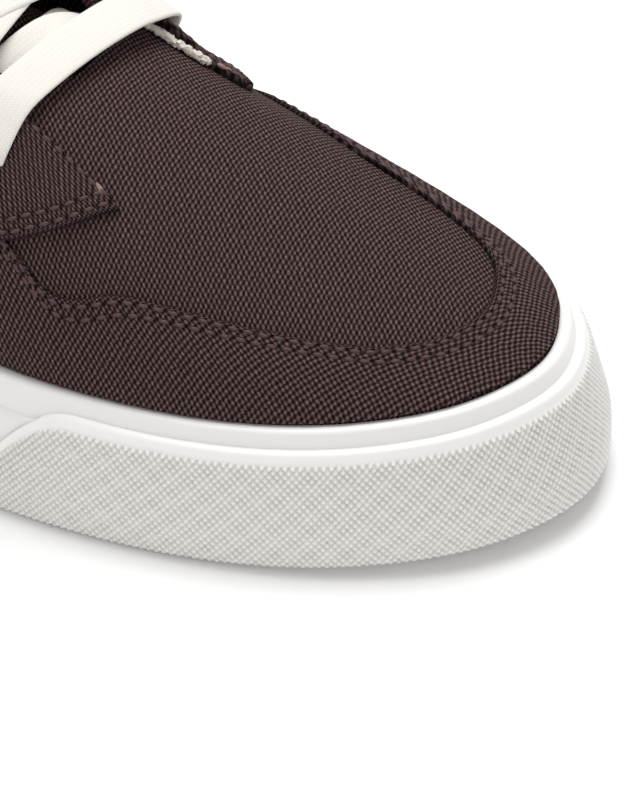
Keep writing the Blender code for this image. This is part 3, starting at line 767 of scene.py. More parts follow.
materials = {
    "vamp": canvasMaterial("canvas of the vamp", 23.0, -62.0),
    "side": canvasMaterial("canvas of the overlays", -10.0, 84.0),
    "panel": canvasMaterial("canvas of the lace panels", 14.0, -74.0),
    "rubber": rubberMaterial("white sole tape rubber", rubber["white"], rubber["roughness"]),
    "bumper": rubberMaterial("textured toe rubber", rubber["bumper"], 0.5),
    "tread": rubberMaterial("tread rubber", rubber["tread"], 0.6),
    "foam": rubberMaterial("midsole foam", rubber["foam"], 0.8),
    "lace": laceMaterial("woven cotton lace"),
    "tack": plainMaterial("pale bar-tack thread", "#8f7472", 0.6, 4000.0, 0.2),
    "thread": plainMaterial("brown sewing thread", "#4b3133", 0.6, 4000.0, 0.2),
    "lining": plainMaterial("dark twill lining", "#2b2223", 0.95),
    "footbed": plainMaterial("footbed cloth", "#3a3131", 0.95),
    "binding": plainMaterial("folded canvas binding", "#3b2e30", 0.9),
    "rawEdge": plainMaterial("undyed cotton core", "#e6dfd4", 0.95, 2500.0, 0.8),
}


def makeTape():
    # two tapes round the side, the upper one thinner, with rounded edges
    turns = evenTurns(0.0, wholeLoop, outline, tape["sample"])[0][:-1]
    level = floorLine(outline(turns)[:, 0])
    low, waist, high = tape["floorClearance"], tape["leanStart"], tape["height"]
    ledge = high - tape["stepDrop"]
    step, full, soft = tape["step"], tape["thickness"], tape["edgeRound"]
    # inset and height of the section's corners, from the foot up and down the back
    section = [(full, low), (soft, low), (0.25 * soft, low + 0.25 * soft), (0.0, low + soft)]
    section += [(0.0, height) for height in np.linspace(low + 2 * soft, waist - soft, 4)]
    section += [(0.0, height) for height in np.linspace(waist, ledge - 0.0003, 8)]
    section += [(0.0002, ledge - 0.0001), (0.0005, ledge), (step - 0.0001, ledge + 0.00005)]
    section += [(step, height) for height in np.linspace(ledge + 0.0003, high - soft, 5)]
    for turn in np.linspace(0.25, 1.0, 4) * math.pi / 2:
        section.append((step + soft * (1 - math.cos(turn)), high - soft * (1 - math.sin(turn))))
    section += [(full - 0.0002, high), (full, high - 0.0004), (full, waist)]
    rings = [sideRing(turns, inset, level + height) for inset, height in section]
    body = sweptBody("foxingTape", np.stack(rings, 1), True, materials["rubber"])
    fitPiece(body, "foxing")


def diamonds(along, up):
    # pillow height of offset rows of diamonds, nought in the grooves between them
    pillow = 1.0
    for phase in (along + up, along - up):
        off = np.abs(2.0 * (phase - np.floor(phase)) - 1.0)
        pillow = pillow * (1.0 - off ** bumper["pillow"])
    return pillow


def makeBumper():
    # toe strip pressed with rows of diamonds, under a smooth margin
    reach = bumper["gap"] + bumper["thickness"]
    turns, travel = evenTurns(bumper["rear"], wholeLoop - bumper["rear"],
                              lambda turns: outline(turns, reach), bumper["sample"])
    level = floorLine(outline(turns)[:, 0])
    low, high = tape["floorClearance"], tape["height"] - bumper["drop"]
    near = np.minimum(sectionOf(turns) - bumper["rear"], bumper["slant"]) / bumper["slant"]
    top = low + (high - low) * np.sin(np.clip(near, 0.03, 1.0) * math.pi / 2)
    soft = bumper["edgeRound"]
    rings, grooveShades = [], []
    for share in np.linspace(0.0, 1.0, int(round((high - low) / bumper["sample"])) + 1):
        height = low + (top - low) * share
        pillow = diamonds(travel / bumper["diamondLength"], height / bumper["diamondHeight"])
        fade = np.clip((top - height - bumper["margin"]) / bumper["marginFade"], 0.0, 1.0)
        sunk = bumper["relief"] * (bumper["marginDepth"] * (1 - fade) - pillow * fade)
        rim = np.clip(1.0 - (1.0 - share) / bumper["topShare"], 0.0, 1.0)
        foot = np.clip(1.0 - share / bumper["footShare"], 0.0, 1.0)
        inset = -reach + soft * 0.5 + sunk
        inset = inset + soft * (1 - math.sqrt(1 - rim ** 2)) + soft * 1.2 * foot ** 2
        rings.append(sideRing(turns, inset, level + height))
        # painted shade in the grooves between the diamonds
        grooveShades.append((1.0 - pillow) * fade)
    # the back of the strip: a lip over the tape's ledge, the ledge and the tape's face
    ledge = tape["height"] - tape["stepDrop"] + bumper["gap"]
    shelf = np.minimum(ledge, top - 0.0006)
    lip = (tape["step"] + bumper["gap"] + 0.0002) * np.clip((top - ledge) / 0.001, 0.0, 1.0)
    back = [(lip - bumper["gap"], top), (lip - bumper["gap"], shelf + 0.0001)]
    back += [(-bumper["gap"], low + (shelf - low) * share) for share in (1.0, 0.66, 0.33, 0.0)]
    for inset, height in back:
        rings.append(sideRing(turns, inset, level + height))
        grooveShades.append(np.zeros(len(turns)))
    body = sweptBody("toeBumper", np.stack(rings, 1), False, materials["bumper"])
    addValues(body, "grooveShade", np.stack(grooveShades, 1))
    fitPiece(body, "toe_bumper")


footbed = {
    "stations": 280,
    "section": ((0.012, 0.0), (0.0, 0.0), (0.0, 0.5), (0.0004, 0.85), (0.0015, 1.0),
                (0.006, 0.92), (0.012, 0.86)),  # inset, share of the thickness
}


def makeFootbed():
    # removable footbed with a soft rounded top edge
    count = footbed["stations"]
    turns = np.arange(count) / count
    middle = outline(turns)[:, 0]
    side = tape["thickness"] + 2 * shoe["gap"] + cloth["wall"]
    low = midsoleTop(middle) + shoe["gap"]
    rings = [sideRing(turns, side + inset, low + soleSize["insole"] * share)
             for inset, share in footbed["section"]]
    half = count // 2
    corners = len(rings)
    faces = []
    for place in range(count):
        here, there = place * corners, (place + 1) % count * corners
        for corner in range(corners - 1):
            faces.append((here + corner, there + corner, there + corner + 1, here + corner + 1))
    for corner in (0, corners - 1):
        groups = [(place, place + 1, count - place - 1, count - place)
                  for place in range(1, half - 1)]
        groups += [(0, 1, count - 1), (half, half + 1, half - 1)]
        for group in groups:
            faces.append(tuple(place * corners + corner for place in group))
    points = np.stack(rings, 1).reshape(-1, 3)
    fitPiece(meshObject("footbed", points, faces, materials["footbed"]), "insole")


def bandMap(turns, shares):
    # weave map of a band laid flat from the tape inward, in millimetres
    foot = outline(turns, -tape["thickness"])
    up = shares * profileLengths(turns)[:, None]
    flat = foot[:, None, :] - outwardAt(turns)[:, None, :] * up[..., None]
    return flat * 1000


def vampMap(points):
    # weave map of the vamp, opened out from a round cross-section, in millimetres
    radius = upper["vampRadius"]
    across = np.clip(points[..., 1] / radius, -0.97, 0.97)
    return np.stack((points[..., 0] * upper["vampStretch"], radius * np.arcsin(across)), -1) * 1000


eyelet = {
    "lateral": 0.564,
    "medial": 0.601,
    "pitch": 0.0112,
    "lateralHalf": 0.300,
    "medialHalf": 0.262,
    "lateralSpread": -0.050,
    "medialSpread": -0.034,
    "rows": 6,
    "radius": 0.0024,
    "punchDepth": 0.014,
    "corners": 24,
}


def cutHoles(body, eyelets):
    # round eyelet holes through the cloth
    work = bmesh.new()
    for places in eyelets.values():
        for point, out in places:
            turn = Vector(out).to_track_quat("Z", "Y").to_matrix().to_4x4()
            turn.translation = Vector(point)
            bmesh.ops.create_cone(work, cap_ends=True, segments=eyelet["corners"],
                                  radius1=eyelet["radius"], radius2=eyelet["radius"],
                                  depth=eyelet["punchDepth"], matrix=turn)
    mesh = bpy.data.meshes.new("holes")
    work.to_mesh(mesh)
    work.free()
    punch = placeObject("holes", mesh)
    cut = body.modifiers.new("holes", "BOOLEAN")
    cut.operation = "DIFFERENCE"
    cut.object = punch
    applyModifiers(body)
    bpy.data.objects.remove(punch)


def makeUpper(eyelets):
    # one hollow shell: canvas outside and an inner wall inside, padded round the collar; the
    # lining material is added but given to no face
    turns = np.arange(upper["stations"]) / upper["stations"]
    spread = np.linspace(0.0, 1.0, upper["rows"]) ** upper["rowShift"]
    shares = np.tile(spread, (len(turns), 1))
    middle = outline(turns)[:, 0]
    surface = upperPoints(turns, shares)
    normal = upperNormals(turns, shares)
    near = (upper["collarFront"] - sectionOf(turns)) / upper["collarFade"]
    near = eased(np.clip(near, 0.0, 1.0))[:, None]
    bulge = np.exp(-((shares - upper["collarShare"]) / upper["collarSpread"]) ** 2) * near
    depth = cloth["wall"] + upper["collarFill"] * bulge
    inner = surface - normal * depth[..., None]
    side = tape["thickness"] + shoe["gap"]
    low = midsoleTop(middle) + shoe["gap"]
    walls = []
    for grid, inset in ((surface, side), (inner, side + cloth["wall"])):
        grid[:, 0] = sideRing(turns, inset, tapeTop(middle))
        walls.append(np.concatenate((sideRing(turns, inset, low)[:, None, :], grid), 1))
    allShares = np.concatenate((shares[:, :1], shares), 1)
    isVamp = (sectionOf(turns) > upper["vampRear"])[:, None, None]
    flat = np.where(isVamp, vampMap(walls[0]), bandMap(turns, allShares))
    body = clothBody("upperShell", *walls, True, materials["vamp"], flat)
    body.data.materials.append(materials["lining"])
    cutHoles(body, eyelets)
    fitPiece(body, "upper")


stitch = {
    "length": 0.0026,
    "pitch": 0.0033,
    "radius": 0.00052,
    "sink": 0.00026,
    "pucker": 0.00034,
    "puckerWidth": 0.0006,
    "puckerBetween": 0.45,
}


seams = {
    "overlay": (0.0017, 0.0046),
    "panelLow": (0.0017, 0.0044),
    "panelHigh": (0.0018,),
    "barTack": (0.0008, 0.0015, 0.0022),
}


def seamDepth(away, travel, places):
    # how deep the cloth is drawn in along its rows of stitches, most at the needle holes
    depth = 0.0
    for place in places:
        row = np.exp(-((away - place) / stitch["puckerWidth"]) ** 2)
        count = round(travel.max() / stitch["pitch"])
        hole = 0.5 - 0.5 * np.cos(2 * math.pi * travel / travel.max() * count)
        between = stitch["puckerBetween"]
        depth = depth + row * (between + (1.0 - between) * hole ** 3)
    return depth


def standing(toHigh, section):
    # how far a lace panel stands off the vamp along its inner edge, drawn up by the laces
    near = np.clip(1.0 - toHigh / panelStand["reach"], 0.0, 1.0)
    front = np.clip((panelStand["tip"] - section) / panelStand["tipFade"], 0.0, 1.0)
    back = np.clip((section - panelStand["rear"]) / panelStand["rearFade"], 0.0, 1.0)
    return eased(near) * eased(front * back)


def layCloth(name, span, edges, thickness, material, node, count, stand=0.0):
    # a folded-edge layer of canvas between two of the upper's edges, or up from its foot
    lowName, highName = edges
    turns, travel = evenTurns(*span, edgeLine(highName), cloth["sample"])
    length = profileLengths(turns)
    high = edgeShare(turns, highName)
    spread = np.linspace(0.0, 1.0, count)
    if lowName is None:
        low = cloth["footGap"] / length
        spread = 1.0 - (1.0 - spread) ** 1.5
    else:
        low = edgeShare(turns, lowName)
        spread = 0.5 - 0.5 * np.cos(math.pi * spread)
    shares = low[:, None] + (high - low)[:, None] * spread[None, :]
    toHigh = (high[:, None] - shares) * length[:, None]
    toLow = (shares - low[:, None]) * length[:, None]
    away = np.minimum(toHigh, np.minimum(travel, travel[-1] - travel)[:, None])
    wrap = 1.0
    if lowName is not None:
        away = np.minimum(away, toLow)
        wrap = np.where(toHigh < toLow, 1.0, -1.0)
    near = np.clip(away / cloth["fold"], 0.0, 1.0)
    lift = thickness * np.sqrt(1.0 - (1.0 - near) ** 2)
    sway = np.cos(toHigh * cloth["swayAcross"]) * cloth["sway"]
    sway = sway * np.sin(travel * cloth["swayAlong"])[:, None]
    drawn = 0.0
    for edge, toEdge in ((highName, toHigh), (lowName, toLow)):
        if edge is not None:
            passed = travelled(edgeLine(edge)(turns))[:, None]
            drawn = drawn + seamDepth(toEdge, passed, seams[edge])
    lift = lift - stitch["pucker"] * drawn * near
    surface = upperPoints(turns, shares)
    normal = upperNormals(turns, shares)
    raised = stand * standing(toHigh, sectionOf(turns)[:, None])
    outer = surface + normal * (cloth["clearance"] + raised + lift + sway * near)[..., None]
    inner = surface + normal * (raised - cloth["sunk"])[..., None]
    wrap = wrap * (1.0 - near) * thickness / length[:, None]
    body = clothBody(name, outer, inner, False, material, bandMap(turns, shares + wrap))
    # painted shade for the canvas: at the needle holes and along the stitch rows, and on the
    # folded edge's wall
    holes = np.clip(drawn * near + (1.0 - near) ** 2, 0.0, 1.0).ravel()
    addValues(body, "paintedSeamShade", np.concatenate((holes, np.zeros(len(holes)))))
    fitPiece(body, node)
    return body


def seamPoints(span, edge, inset, height, stand=0.0):
    # middles, ways ahead and ways out of the stitches of a row, spaced along its edge
    turnStep = 0.0006
    turns = evenTurns(*span, edgeLine(edge), stitch["pitch"])[0][1:-1]
    line = edgeLine(edge, -inset)
    normal = upperNormals(turns, pastEdge(turns, edge, -inset))[:, 0]
    ahead = unit(line(turns + turnStep) - line(turns - turnStep))
    raised = stand * standing(max(inset, 0.0), sectionOf(turns)) * (edge == "panelHigh")
    lift = height + raised - stitch["sink"]
    return line(turns) + normal * lift[:, None], ahead, normal


def stitchTree():
    # node group that lays one rounded thread stitch on each point
    tree = bpy.data.node_groups.new("layStitches", "GeometryNodeTree")
    face = tree.interface
    face.new_socket("Geometry", in_out="INPUT", socket_type="NodeSocketGeometry")
    for name, value in (("Stitch Length", stitch["length"]), ("Thread Radius", stitch["radius"])):
        socket = face.new_socket(name, in_out="INPUT", socket_type="NodeSocketFloat")
        socket.default_value = value
    face.new_socket("Thread", in_out="INPUT", socket_type="NodeSocketMaterial")
    face.new_socket("Geometry", in_out="OUTPUT", socket_type="NodeSocketGeometry")
    start = tree.nodes.new("NodeGroupInput")
    finish = tree.nodes.new("NodeGroupOutput")
    ahead, out = (addNode(tree, "GeometryNodeInputNamedAttribute", {"Name": name},
                          data_type="FLOAT_VECTOR").outputs[0] for name in ("ahead", "out"))
    turn = addNode(tree, "FunctionNodeAxesToRotation", None, {0: out, 1: ahead},
                   primary_axis="Z", secondary_axis="X")
    bead = addNode(tree, "GeometryNodeMeshUVSphere", {"Segments": 8, "Rings": 6, "Radius": 1.0})
    half = mathNode(tree, "MULTIPLY", start.outputs["Stitch Length"], 0.5)
    radius = start.outputs["Thread Radius"]
    size = addNode(tree, "ShaderNodeCombineXYZ", None, {0: half, 1: radius, 2: radius})
    placed = addNode(tree, "GeometryNodeInstanceOnPoints", None,
                     {"Points": start.outputs["Geometry"], "Instance": bead.outputs["Mesh"],
                      "Rotation": turn.outputs[0], "Scale": size.outputs[0]})
    real = addNode(tree, "GeometryNodeRealizeInstances", None,
                   {"Geometry": placed.outputs[0]})
    coated = addNode(tree, "GeometryNodeSetMaterial", None,
                     {"Geometry": real.outputs[0], "Material": start.outputs["Thread"]})
    tree.links.new(coated.outputs[0], finish.inputs[0])
    return tree


stitches = stitchTree()


def sew(name, rows, material):
    # one object of thread for rows of stitches
    mesh = bpy.data.meshes.new(name)
    mesh.from_pydata(np.concatenate([row[0] for row in rows]).tolist(), [], [])
    for place, label in ((1, "ahead"), (2, "out")):
        data = mesh.attributes.new(label, "FLOAT_VECTOR", "POINT")
        values = np.concatenate([row[place] for row in rows]).astype(np.float32)
        data.data.foreach_set("vector", values.ravel())
    body = placeObject(name, mesh)
    layer = body.modifiers.new("stitches", "NODES")
    layer.node_group = stitches
    for item in stitches.interface.items_tree:
        if item.name == "Thread":
            layer[item.identifier] = material
    applyModifiers(body)
    body.data.shade_smooth()
    fitPiece(body)


rope = {
    "sample": 0.0004,
    "corners": 14,
    "taper": 0.0008,
}


def edgeRope(name, span, edge, past, height, radius, rough, material, seed):
    # uneven rope of cloth along an edge of the upper
    line = edgeLine(edge, past)
    turns, travel = evenTurns(*span, line, rope["sample"])
    normal = upperNormals(turns, pastEdge(turns, edge, past))[:, 0]
    path = line(turns) + normal * height
    side = np.cross(normal, unit(np.gradient(path, axis=0)))
    turn = np.linspace(0.0, 2 * math.pi, rope["corners"], endpoint=False)
    chance = np.random.default_rng(seed)
    lumps = 1.0 + rough * chance.uniform(-1.0, 1.0, (len(turns), len(turn)))
    toEnd = np.minimum(travel, travel[-1] - travel)
    size = radius * np.sqrt(np.clip(toEnd / rope["taper"], 0.02, 1.0))[:, None] * lumps
    rings = (path[:, None, :] + side[:, None, :] * (np.cos(turn) * size)[..., None]
             + normal[:, None, :] * (np.sin(turn) * size)[..., None])
    return sweptBody(name, rings, False, material)


rawEdge = {
    "past": 0.0003,
    "radius": 0.0009,
    "rough": 0.40,
    "medial": {"span": (wholeLoop - 11.15, wholeLoop - 9.3), "height": 0.0013, "seed": 7},
    "lateral": {"span": (9.0, 9.8), "height": 0.0003, "seed": 8},
}


binding = {
    "span": (-5.5, 5.5),
    "height": -0.0009,
    "radius": 0.0017,
    "seed": 3,
}


def makeRawEdges():
    # undyed core of the cut canvas, seen along the front of each lace panel's inner edge
    for side in ("medial", "lateral"):
        part = rawEdge[side]
        body = edgeRope(f"{side}RawEdge", part["span"], "panelHigh", rawEdge["past"],
                        part["height"], rawEdge["radius"], rawEdge["rough"],
                        materials["rawEdge"], part["seed"])
        fitPiece(body)


def makeCollarBinding():
    # folded binding round the collar's edge
    body = edgeRope("collarBinding", binding["span"], "rim", 0.0, binding["height"],
                    binding["radius"], 0.0, materials["binding"], binding["seed"])
    fitPiece(body)


overlays = {
    "mudguardRear": 6.6,
    "counterFront": 4.0,
    "panelRear": 5.6,
    "lateralTip": 11.15,
    "medialTip": 11.5,
    "lateralTack": (10.75, 11.15),
    "medialTack": (wholeLoop - 11.35, wholeLoop - 10.9),
    "mudguardRows": 46,
    "counterRows": 40,
    "panelRows": 54,
}


def makeOverlays(eyelets):
    # mudguard, heel counter and lace panels, each sewn down along its edges
    rear, front = overlays["mudguardRear"], overlays["counterFront"]
    wraps = (("mudguardCanvas", (rear, wholeLoop - rear), "mudguard", overlays["mudguardRows"]),
             ("heelCanvas", (-front, front), "heel_counter", overlays["counterRows"]))
    panels = {"lateral": (overlays["panelRear"], overlays["lateralTip"]),
              "medial": (wholeLoop - overlays["medialTip"], wholeLoop - overlays["panelRear"])}
    rows = []
    lift = cloth["overlay"] + cloth["clearance"]
    for name, span, node, count in wraps:
        layCloth(name, span, (None, "overlay"), cloth["overlay"], materials["side"], node, count)
        rows += [seamPoints(span, "overlay", inset, lift) for inset in seams["overlay"]]
    lift = cloth["lacePanel"] + cloth["clearance"]
    for side, span in panels.items():
        body = layCloth(f"{side}LacePanel", span, ("panelLow", "panelHigh"), cloth["lacePanel"],
                        materials["panel"], f"lace_panel_{side}", overlays["panelRows"],
                        panelStand[side])
        cutHoles(body, eyelets)
        for edge, way in (("panelLow", -1.0), ("panelHigh", 1.0)):
            rows += [seamPoints(span, edge, way * inset, lift, panelStand[side])
                     for inset in seams[edge]]
    print("overlays made")
    sew("stitchRows", rows, materials["thread"])
    ends = [seamPoints(overlays[side + "Tack"], "panelHigh", inset, lift)
            for side in panels for inset in seams["barTack"]]
    sew("barTacks", ends, materials["tack"])
    makeRawEdges()
    makeCollarBinding()
    print("stitches sewn")


throat = {
    "rear": 4.5,
    "front": 13.0,
    "low": 0.68,
    "alongSteps": 260,
    "upSteps": 200,
    "laceShare": 0.17,
    "laceSteps": 120,
}


def throatGrid(medial):
    # grid of points on one side of the upper beside the throat
    turns = np.linspace(throat["rear"], throat["front"], throat["alongSteps"]) / wholeLoop
    if medial:
        turns = 1.0 - turns
    shares = np.tile(np.linspace(throat["low"], 1.0, throat["upSteps"]), (len(turns), 1))
    return turns, shares, upperPoints(turns, shares)


def overUpper(grid, x, y):
    # point on the upper over a point in plan, and the way out of it
    turns, shares, points = grid
    off = np.hypot(points[..., 0] - x, points[..., 1] - y)
    place, row = np.unravel_index(off.argmin(), off.shape)
    base = points[place, row]
    out = upperNormals(turns[place:place + 1], shares[place:place + 1, row:row + 1])[0, 0]
    level = base[2] - (out[0] * (x - base[0]) + out[1] * (y - base[1])) / out[2]
    return np.array((x, y, level)), out


def eyeletPlaces(grids):
    # middle of each eyelet and the way out of it, from the toe end back
    places = {}
    for name, sign in (("lateral", -1.0), ("medial", 1.0)):
        places[name] = []
        for row in range(eyelet["rows"]):
            x = eyelet[name] * shoe["length"] - lengthCentre - row * eyelet["pitch"]
            half = eyelet[name + "Half"] + eyelet[name + "Spread"] * row / (eyelet["rows"] - 1)
            y = sign * half * shoe["ballWidth"] - widthCentre
            places[name].append(overUpper(grids[name], x, y))
    return places


tongueRows = (
    (0.622, 0.735, 0.130, 0.030),
    (0.598, 0.775, 0.185, 0.070),
    (0.570, 0.820, 0.208, 0.105),
    (0.530, 0.870, 0.214, 0.124),
    (0.488, 0.905, 0.214, 0.134),
    (0.425, 0.950, 0.210, 0.138),
    (0.370, 0.985, 0.196, 0.120),
    (0.335, 1.030, 0.190, 0.088),
    (0.305, 1.105, 0.205, 0.070),
    (0.285, 1.190, 0.200, 0.060),
)
tongue = {
    "thickness": 0.0042,
    "edge": 0.0003,
    "rim": 0.012,
    "along": 150,
    "across": 44,
    "mapHalf": 0.21,
    "mapStretch": 1.1,
    "fill": 0.6,
}


def tonguePoint(along, across):
    # point on the tongue's face, by its share of the length and of the half width
    table = np.array(tongueRows)[::-1]
    fine = np.linspace(table[0, 0], table[-1, 0], 400)
    columns = (np.interp(fine, table[:, 0], column) for column in table[:, 1:].T)
    crest, half, fall = (np.interp(along, fine, rounded(column, 40, 16.0)) for column in columns)
    x = along * shoe["length"] - lengthCentre
    y = across * half * shoe["ballWidth"] - widthCentre
    z = crest * shoe["instepHeight"] - fall * shoe["ballWidth"] * across ** 2
    return np.stack(np.broadcast_arrays(x, y, z), -1)


def tongueNormal(along, across):
    step = 0.004
    back = tonguePoint(along - step, across) - tonguePoint(along + step, across)
    side = tonguePoint(along, across + step) - tonguePoint(along, across - step)
    normal = unit(np.cross(back, side))
    return normal * np.sign(normal[..., 2:3])


def makeTongue():
    # padded canvas tongue with rounded edges
    low, high = tongueRows[-1][0], tongueRows[0][0]
    along = np.linspace(high, low, tongue["along"])[:, None]
    across = np.sin(np.linspace(-0.5, 0.5, tongue["across"]) * math.pi)[None, :]
    top = tonguePoint(along, across)
    normal = tongueNormal(along, across)
    rim = np.clip((along - low) / tongue["rim"], 0.0, 1.0)
    full = (1 - np.abs(across) ** 5) * np.sqrt(1 - (1 - rim) ** 2)
    depth = tongue["edge"] + (tongue["thickness"] - tongue["edge"]) * full
    middle = top - normal * (tongue["thickness"] / 2)
    outer = middle + normal * (depth / 2)[..., None]
    inner = middle - normal * (depth / 2)[..., None]
    ahead = along * shoe["length"]
    aside = across * tongue["mapHalf"] * shoe["ballWidth"]
    flat = np.stack(np.broadcast_arrays(ahead, aside), -1) * tongue["mapStretch"] * 1000
    body = clothBody("tonguePad", outer, inner, False, materials["vamp"], flat)
    fitPiece(body, "tongue")


def laceBand(name, path, ups, node):
    # flat lace along a path, bunched at both ends where it goes through an eyelet
    path, ups, narrow = smoothPath(path, ups)
    side = unit(np.cross(ups, unit(np.gradient(path, axis=0))))
    face = np.cross(unit(np.gradient(path, axis=0)), side)
    width = lace["width"] + (lace["holeWidth"] - lace["width"]) * narrow
    thick = lace["thickness"] * (1 + lace["holeThickening"] * narrow)
    turn = np.linspace(0.0, 2 * math.pi, lace["corners"], endpoint=False)
    flatX = np.sign(np.cos(turn)) * np.abs(np.cos(turn)) ** lace["flatFace"]
    flatY = np.sign(np.sin(turn)) * np.abs(np.sin(turn)) ** lace["roundEdge"]
    rings = (path[:, None, :]
             + side[:, None, :] * (flatX[None, :] * width[:, None] / 2)[..., None]
             + face[:, None, :] * (flatY[None, :] * thick[:, None] / 2)[..., None])
    uv = np.stack(np.broadcast_arrays(travelled(path)[:, None] * 1000,
                                      flatX[None, :] * width[:, None] * 500), -1)
    fitPiece(sweptBody(name, rings, False, materials["lace"], uv), node)


def smoothPath(points, ups):
    # evenly spaced points along a rounded path through the given ones
    points, ups = np.array(points), np.array(ups)
    travel = travelled(points)
    fine = np.linspace(0.0, travel[-1], lace["steps"])
    path, up = (np.stack([rounded(np.interp(fine, travel, column), 4, 2.4)
                          for column in values.T], 1) for values in (points, ups))
    toEnd = np.minimum(fine, travel[-1] - fine)
    narrow = np.clip(1.0 - (toEnd - lace["bunchStart"]) / lace["bunchLength"], 0.0, 1.0)
    return path, unit(up), eased(narrow)


middleUp = np.array((0.33, 0.0, 0.94))


def throatShare(start, end, grid):
    # share of the way between two eyelets at which the upper's edge is reached
    edge = grid[2][:, -1]
    order = np.argsort(edge[:, 0])
    share = np.linspace(0.0, throat["laceShare"], throat["laceSteps"])
    flat = start[:2] + (end[:2] - start[:2]) * share[:, None]
    half = np.abs(np.interp(flat[:, 0], edge[order, 0], edge[order, 1]))
    return share[np.abs(flat[:, 1]) >= half][-1]


def outerLace(start, end, grids, name, node):
    # lace that leaves one eyelet, lies on both panels and goes down into the other eyelet
    seat = cloth["clearance"] + cloth["lacePanel"] + lace["rise"] + lace["thickness"] / 2
    near, far = start[0], end[0]
    rise = throatShare(near, far, grids["lateral"])
    fall = 1.0 - throatShare(far, near, grids["medial"])

    def onPanel(share):
        x, y = near[:2] + (far[:2] - near[:2]) * share
        side = "lateral" if share < 0.5 else "medial"
        point, out = overUpper(grids[side], x, y)
        return point + out * (seat + panelStand[side]), out

    low, high = onPanel(rise)[0], onPanel(fall)[0]
    path = [near - start[1] * lace["outerTuck"]]
    ups = [start[1]]
    for share in np.linspace(0.0, 1.0, lace["outerPoints"]):
        if rise < share < fall:
            between = (share - rise) / (fall - rise)
            arch = lace["arch"] * (1.0 - (2.0 * between - 1.0) ** 2)
            point, out = low + (high - low) * between + (0.0, 0.0, arch), middleUp
        else:
            point, out = onPanel(share)
        path.append(point)
        ups.append(out)
    path.append(far - end[1] * lace["outerTuck"])
    ups.append(end[1])
    laceBand(name, path, ups, node)


def innerLace(start, end, lift, name, node):
    # lace that leaves an eyelet under the panel, crosses the tongue and goes up the other side
    near, far = start[0], end[0]
    inset = lace["innerInset"]
    share = np.linspace(inset, 1.0 - inset, lace["innerPoints"])[:, None]
    flat = near[:2] + (far[:2] - near[:2]) * share
    along = shareAlong(flat[:, 0])
    table = np.array(tongueRows)[::-1]
    half = np.interp(along, table[:, 0], table[:, 2]) * shoe["ballWidth"]
    side = (flat[:, 1] + widthCentre) / half
    up = tongueNormal(along, side)
    taut = np.clip(1.0 - np.abs(2.0 * share - 1.0) / (1.0 - 2.0 * inset), 0.0, 1.0) ** 0.5
    seat = lace["innerGap"] + lift * taut + lace["thickness"] / 2
    line = tonguePoint(along, side) + up * seat
    tuck = lace["innerTuck"]
    path = [near - start[1] * tuck] + list(line) + [far - end[1] * tuck]
    laceBand(name, path, [start[1]] + list(up) + [end[1]], node)


def makeLaces(eyelets, grids):
    # front bar, then crossings that lie under and over the panels by turns
    lateral, medial = eyelets["lateral"], eyelets["medial"]
    outerLace(lateral[0], medial[0], grids, "frontBar", "lace_bar")
    for row in range(eyelet["rows"] - 1):
        pairs = (("Over", lateral[row + 1], medial[row]), ("Under", lateral[row], medial[row + 1]))
        for kind, start, end in pairs:
            name, node = f"crossing{row + 1}{kind}", f"lace_crossing_{row + 1}"
            if row % 2 == 0:
                innerLace(start, end, lace["innerRise"][kind][row // 2], name, node)
            else:
                outerLace(start, end, grids, name, node)


def dressSole():
    # the moulded outsole and midsole keep their own form and get their finish
    for node, material in (("outsole", "tread"), ("midsole", "foam")):
        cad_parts[node].material_slots[0].material = materials[material]


studio = {
    "azimuth": 25.3,
    "elevation": 35.35,
    "distance": 2.274,
    "lens": 586.4,
    "target": (0.0857, -0.0034, 0.0123),
    "floor": "#fbfbfb",
    "floorGlow": 0.05,
    "sky": 0.48,
    "lightTarget": (0.08, 0.0, 0.03),
    "key": {"place": (-0.05, 0.36, 1.31), "size": 0.8, "power": 14.5},
    "fill": {"place": (0.3, -1.3, 0.6), "size": 1.0, "power": 2.6},
}


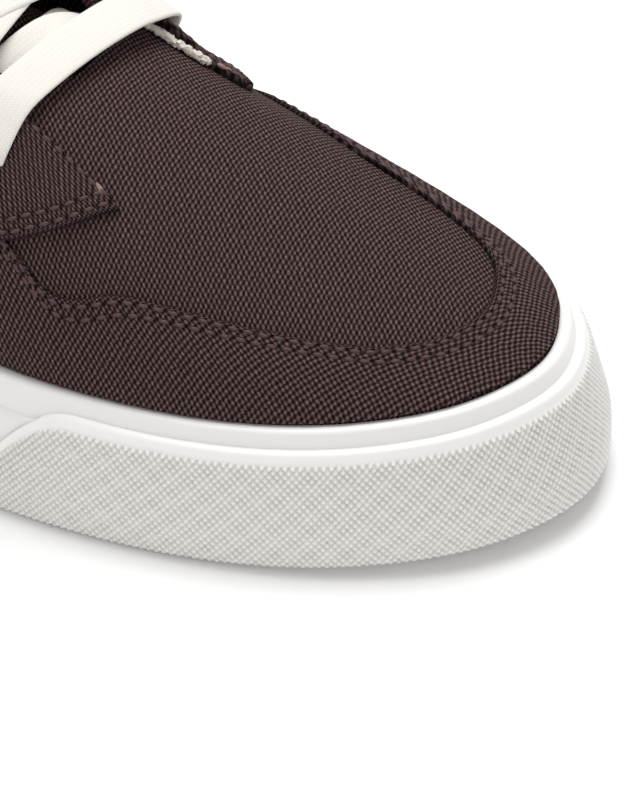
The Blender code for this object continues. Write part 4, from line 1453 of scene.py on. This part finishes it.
def placeCamera():
    azimuth = math.radians(studio["azimuth"])
    elevation = math.radians(studio["elevation"])
    back = Vector((math.sin(azimuth) * math.cos(elevation),
                   -math.cos(azimuth) * math.cos(elevation),
                   math.sin(elevation)))
    data = bpy.data.cameras.new("camera")
    data.sensor_fit = "HORIZONTAL"
    data.sensor_width = 36.0
    data.lens = studio["lens"]
    data.clip_end = 20.0
    holder = placeObject("camera", data)
    holder.location = Vector(studio["target"]) + back * studio["distance"]
    holder.rotation_euler = back.to_track_quat("Z", "Y").to_euler()
    bpy.context.scene.camera = holder


def areaLight(name):
    # square soft light that points at the shoe
    light = studio[name]
    data = bpy.data.lights.new(name, "AREA")
    data.size = light["size"]
    data.energy = light["power"]
    holder = placeObject(name, data)
    holder.location = light["place"]
    aim = Vector(light["place"]) - Vector(studio["lightTarget"])
    holder.rotation_euler = aim.to_track_quat("Z", "Y").to_euler()


def makeStudio():
    # pale floor, an even sky, a soft key from above and a weak fill from the front
    white = (1.0, 1.0, 1.0, 1.0)
    bpy.ops.mesh.primitive_plane_add(size=12.0, location=(0.0, 0.0, -0.0001))
    floor = bpy.context.object
    floor.name = "floor"
    material = newMaterial("studio floor", {"Base Color": colour(studio["floor"]),
                                            "Roughness": 1.0,
                                            "Specular IOR Level": 0.0,
                                            "Emission Color": white,
                                            "Emission Strength": studio["floorGlow"]})[0]
    floor.data.materials.append(material)
    world = bpy.data.worlds.new("studio")
    world.use_nodes = True
    sky = world.node_tree.nodes["Background"]
    sky.inputs["Color"].default_value = white
    sky.inputs["Strength"].default_value = studio["sky"]
    scene = bpy.context.scene
    scene.world = world
    scene.view_settings.view_transform = "Standard"
    scene.view_settings.look = "None"
    areaLight("key")
    areaLight("fill")


placeCamera()
makeStudio()
print("camera, floor and light placed")
grids = {"lateral": throatGrid(False), "medial": throatGrid(True)}
eyelets = eyeletPlaces(grids)
dressSole()
makeTape()
makeBumper()
makeFootbed()
print("sole made")
makeUpper(eyelets)
print("upper made")
makeOverlays(eyelets)
makeTongue()
makeLaces(eyelets, grids)
print("tongue and laces made")
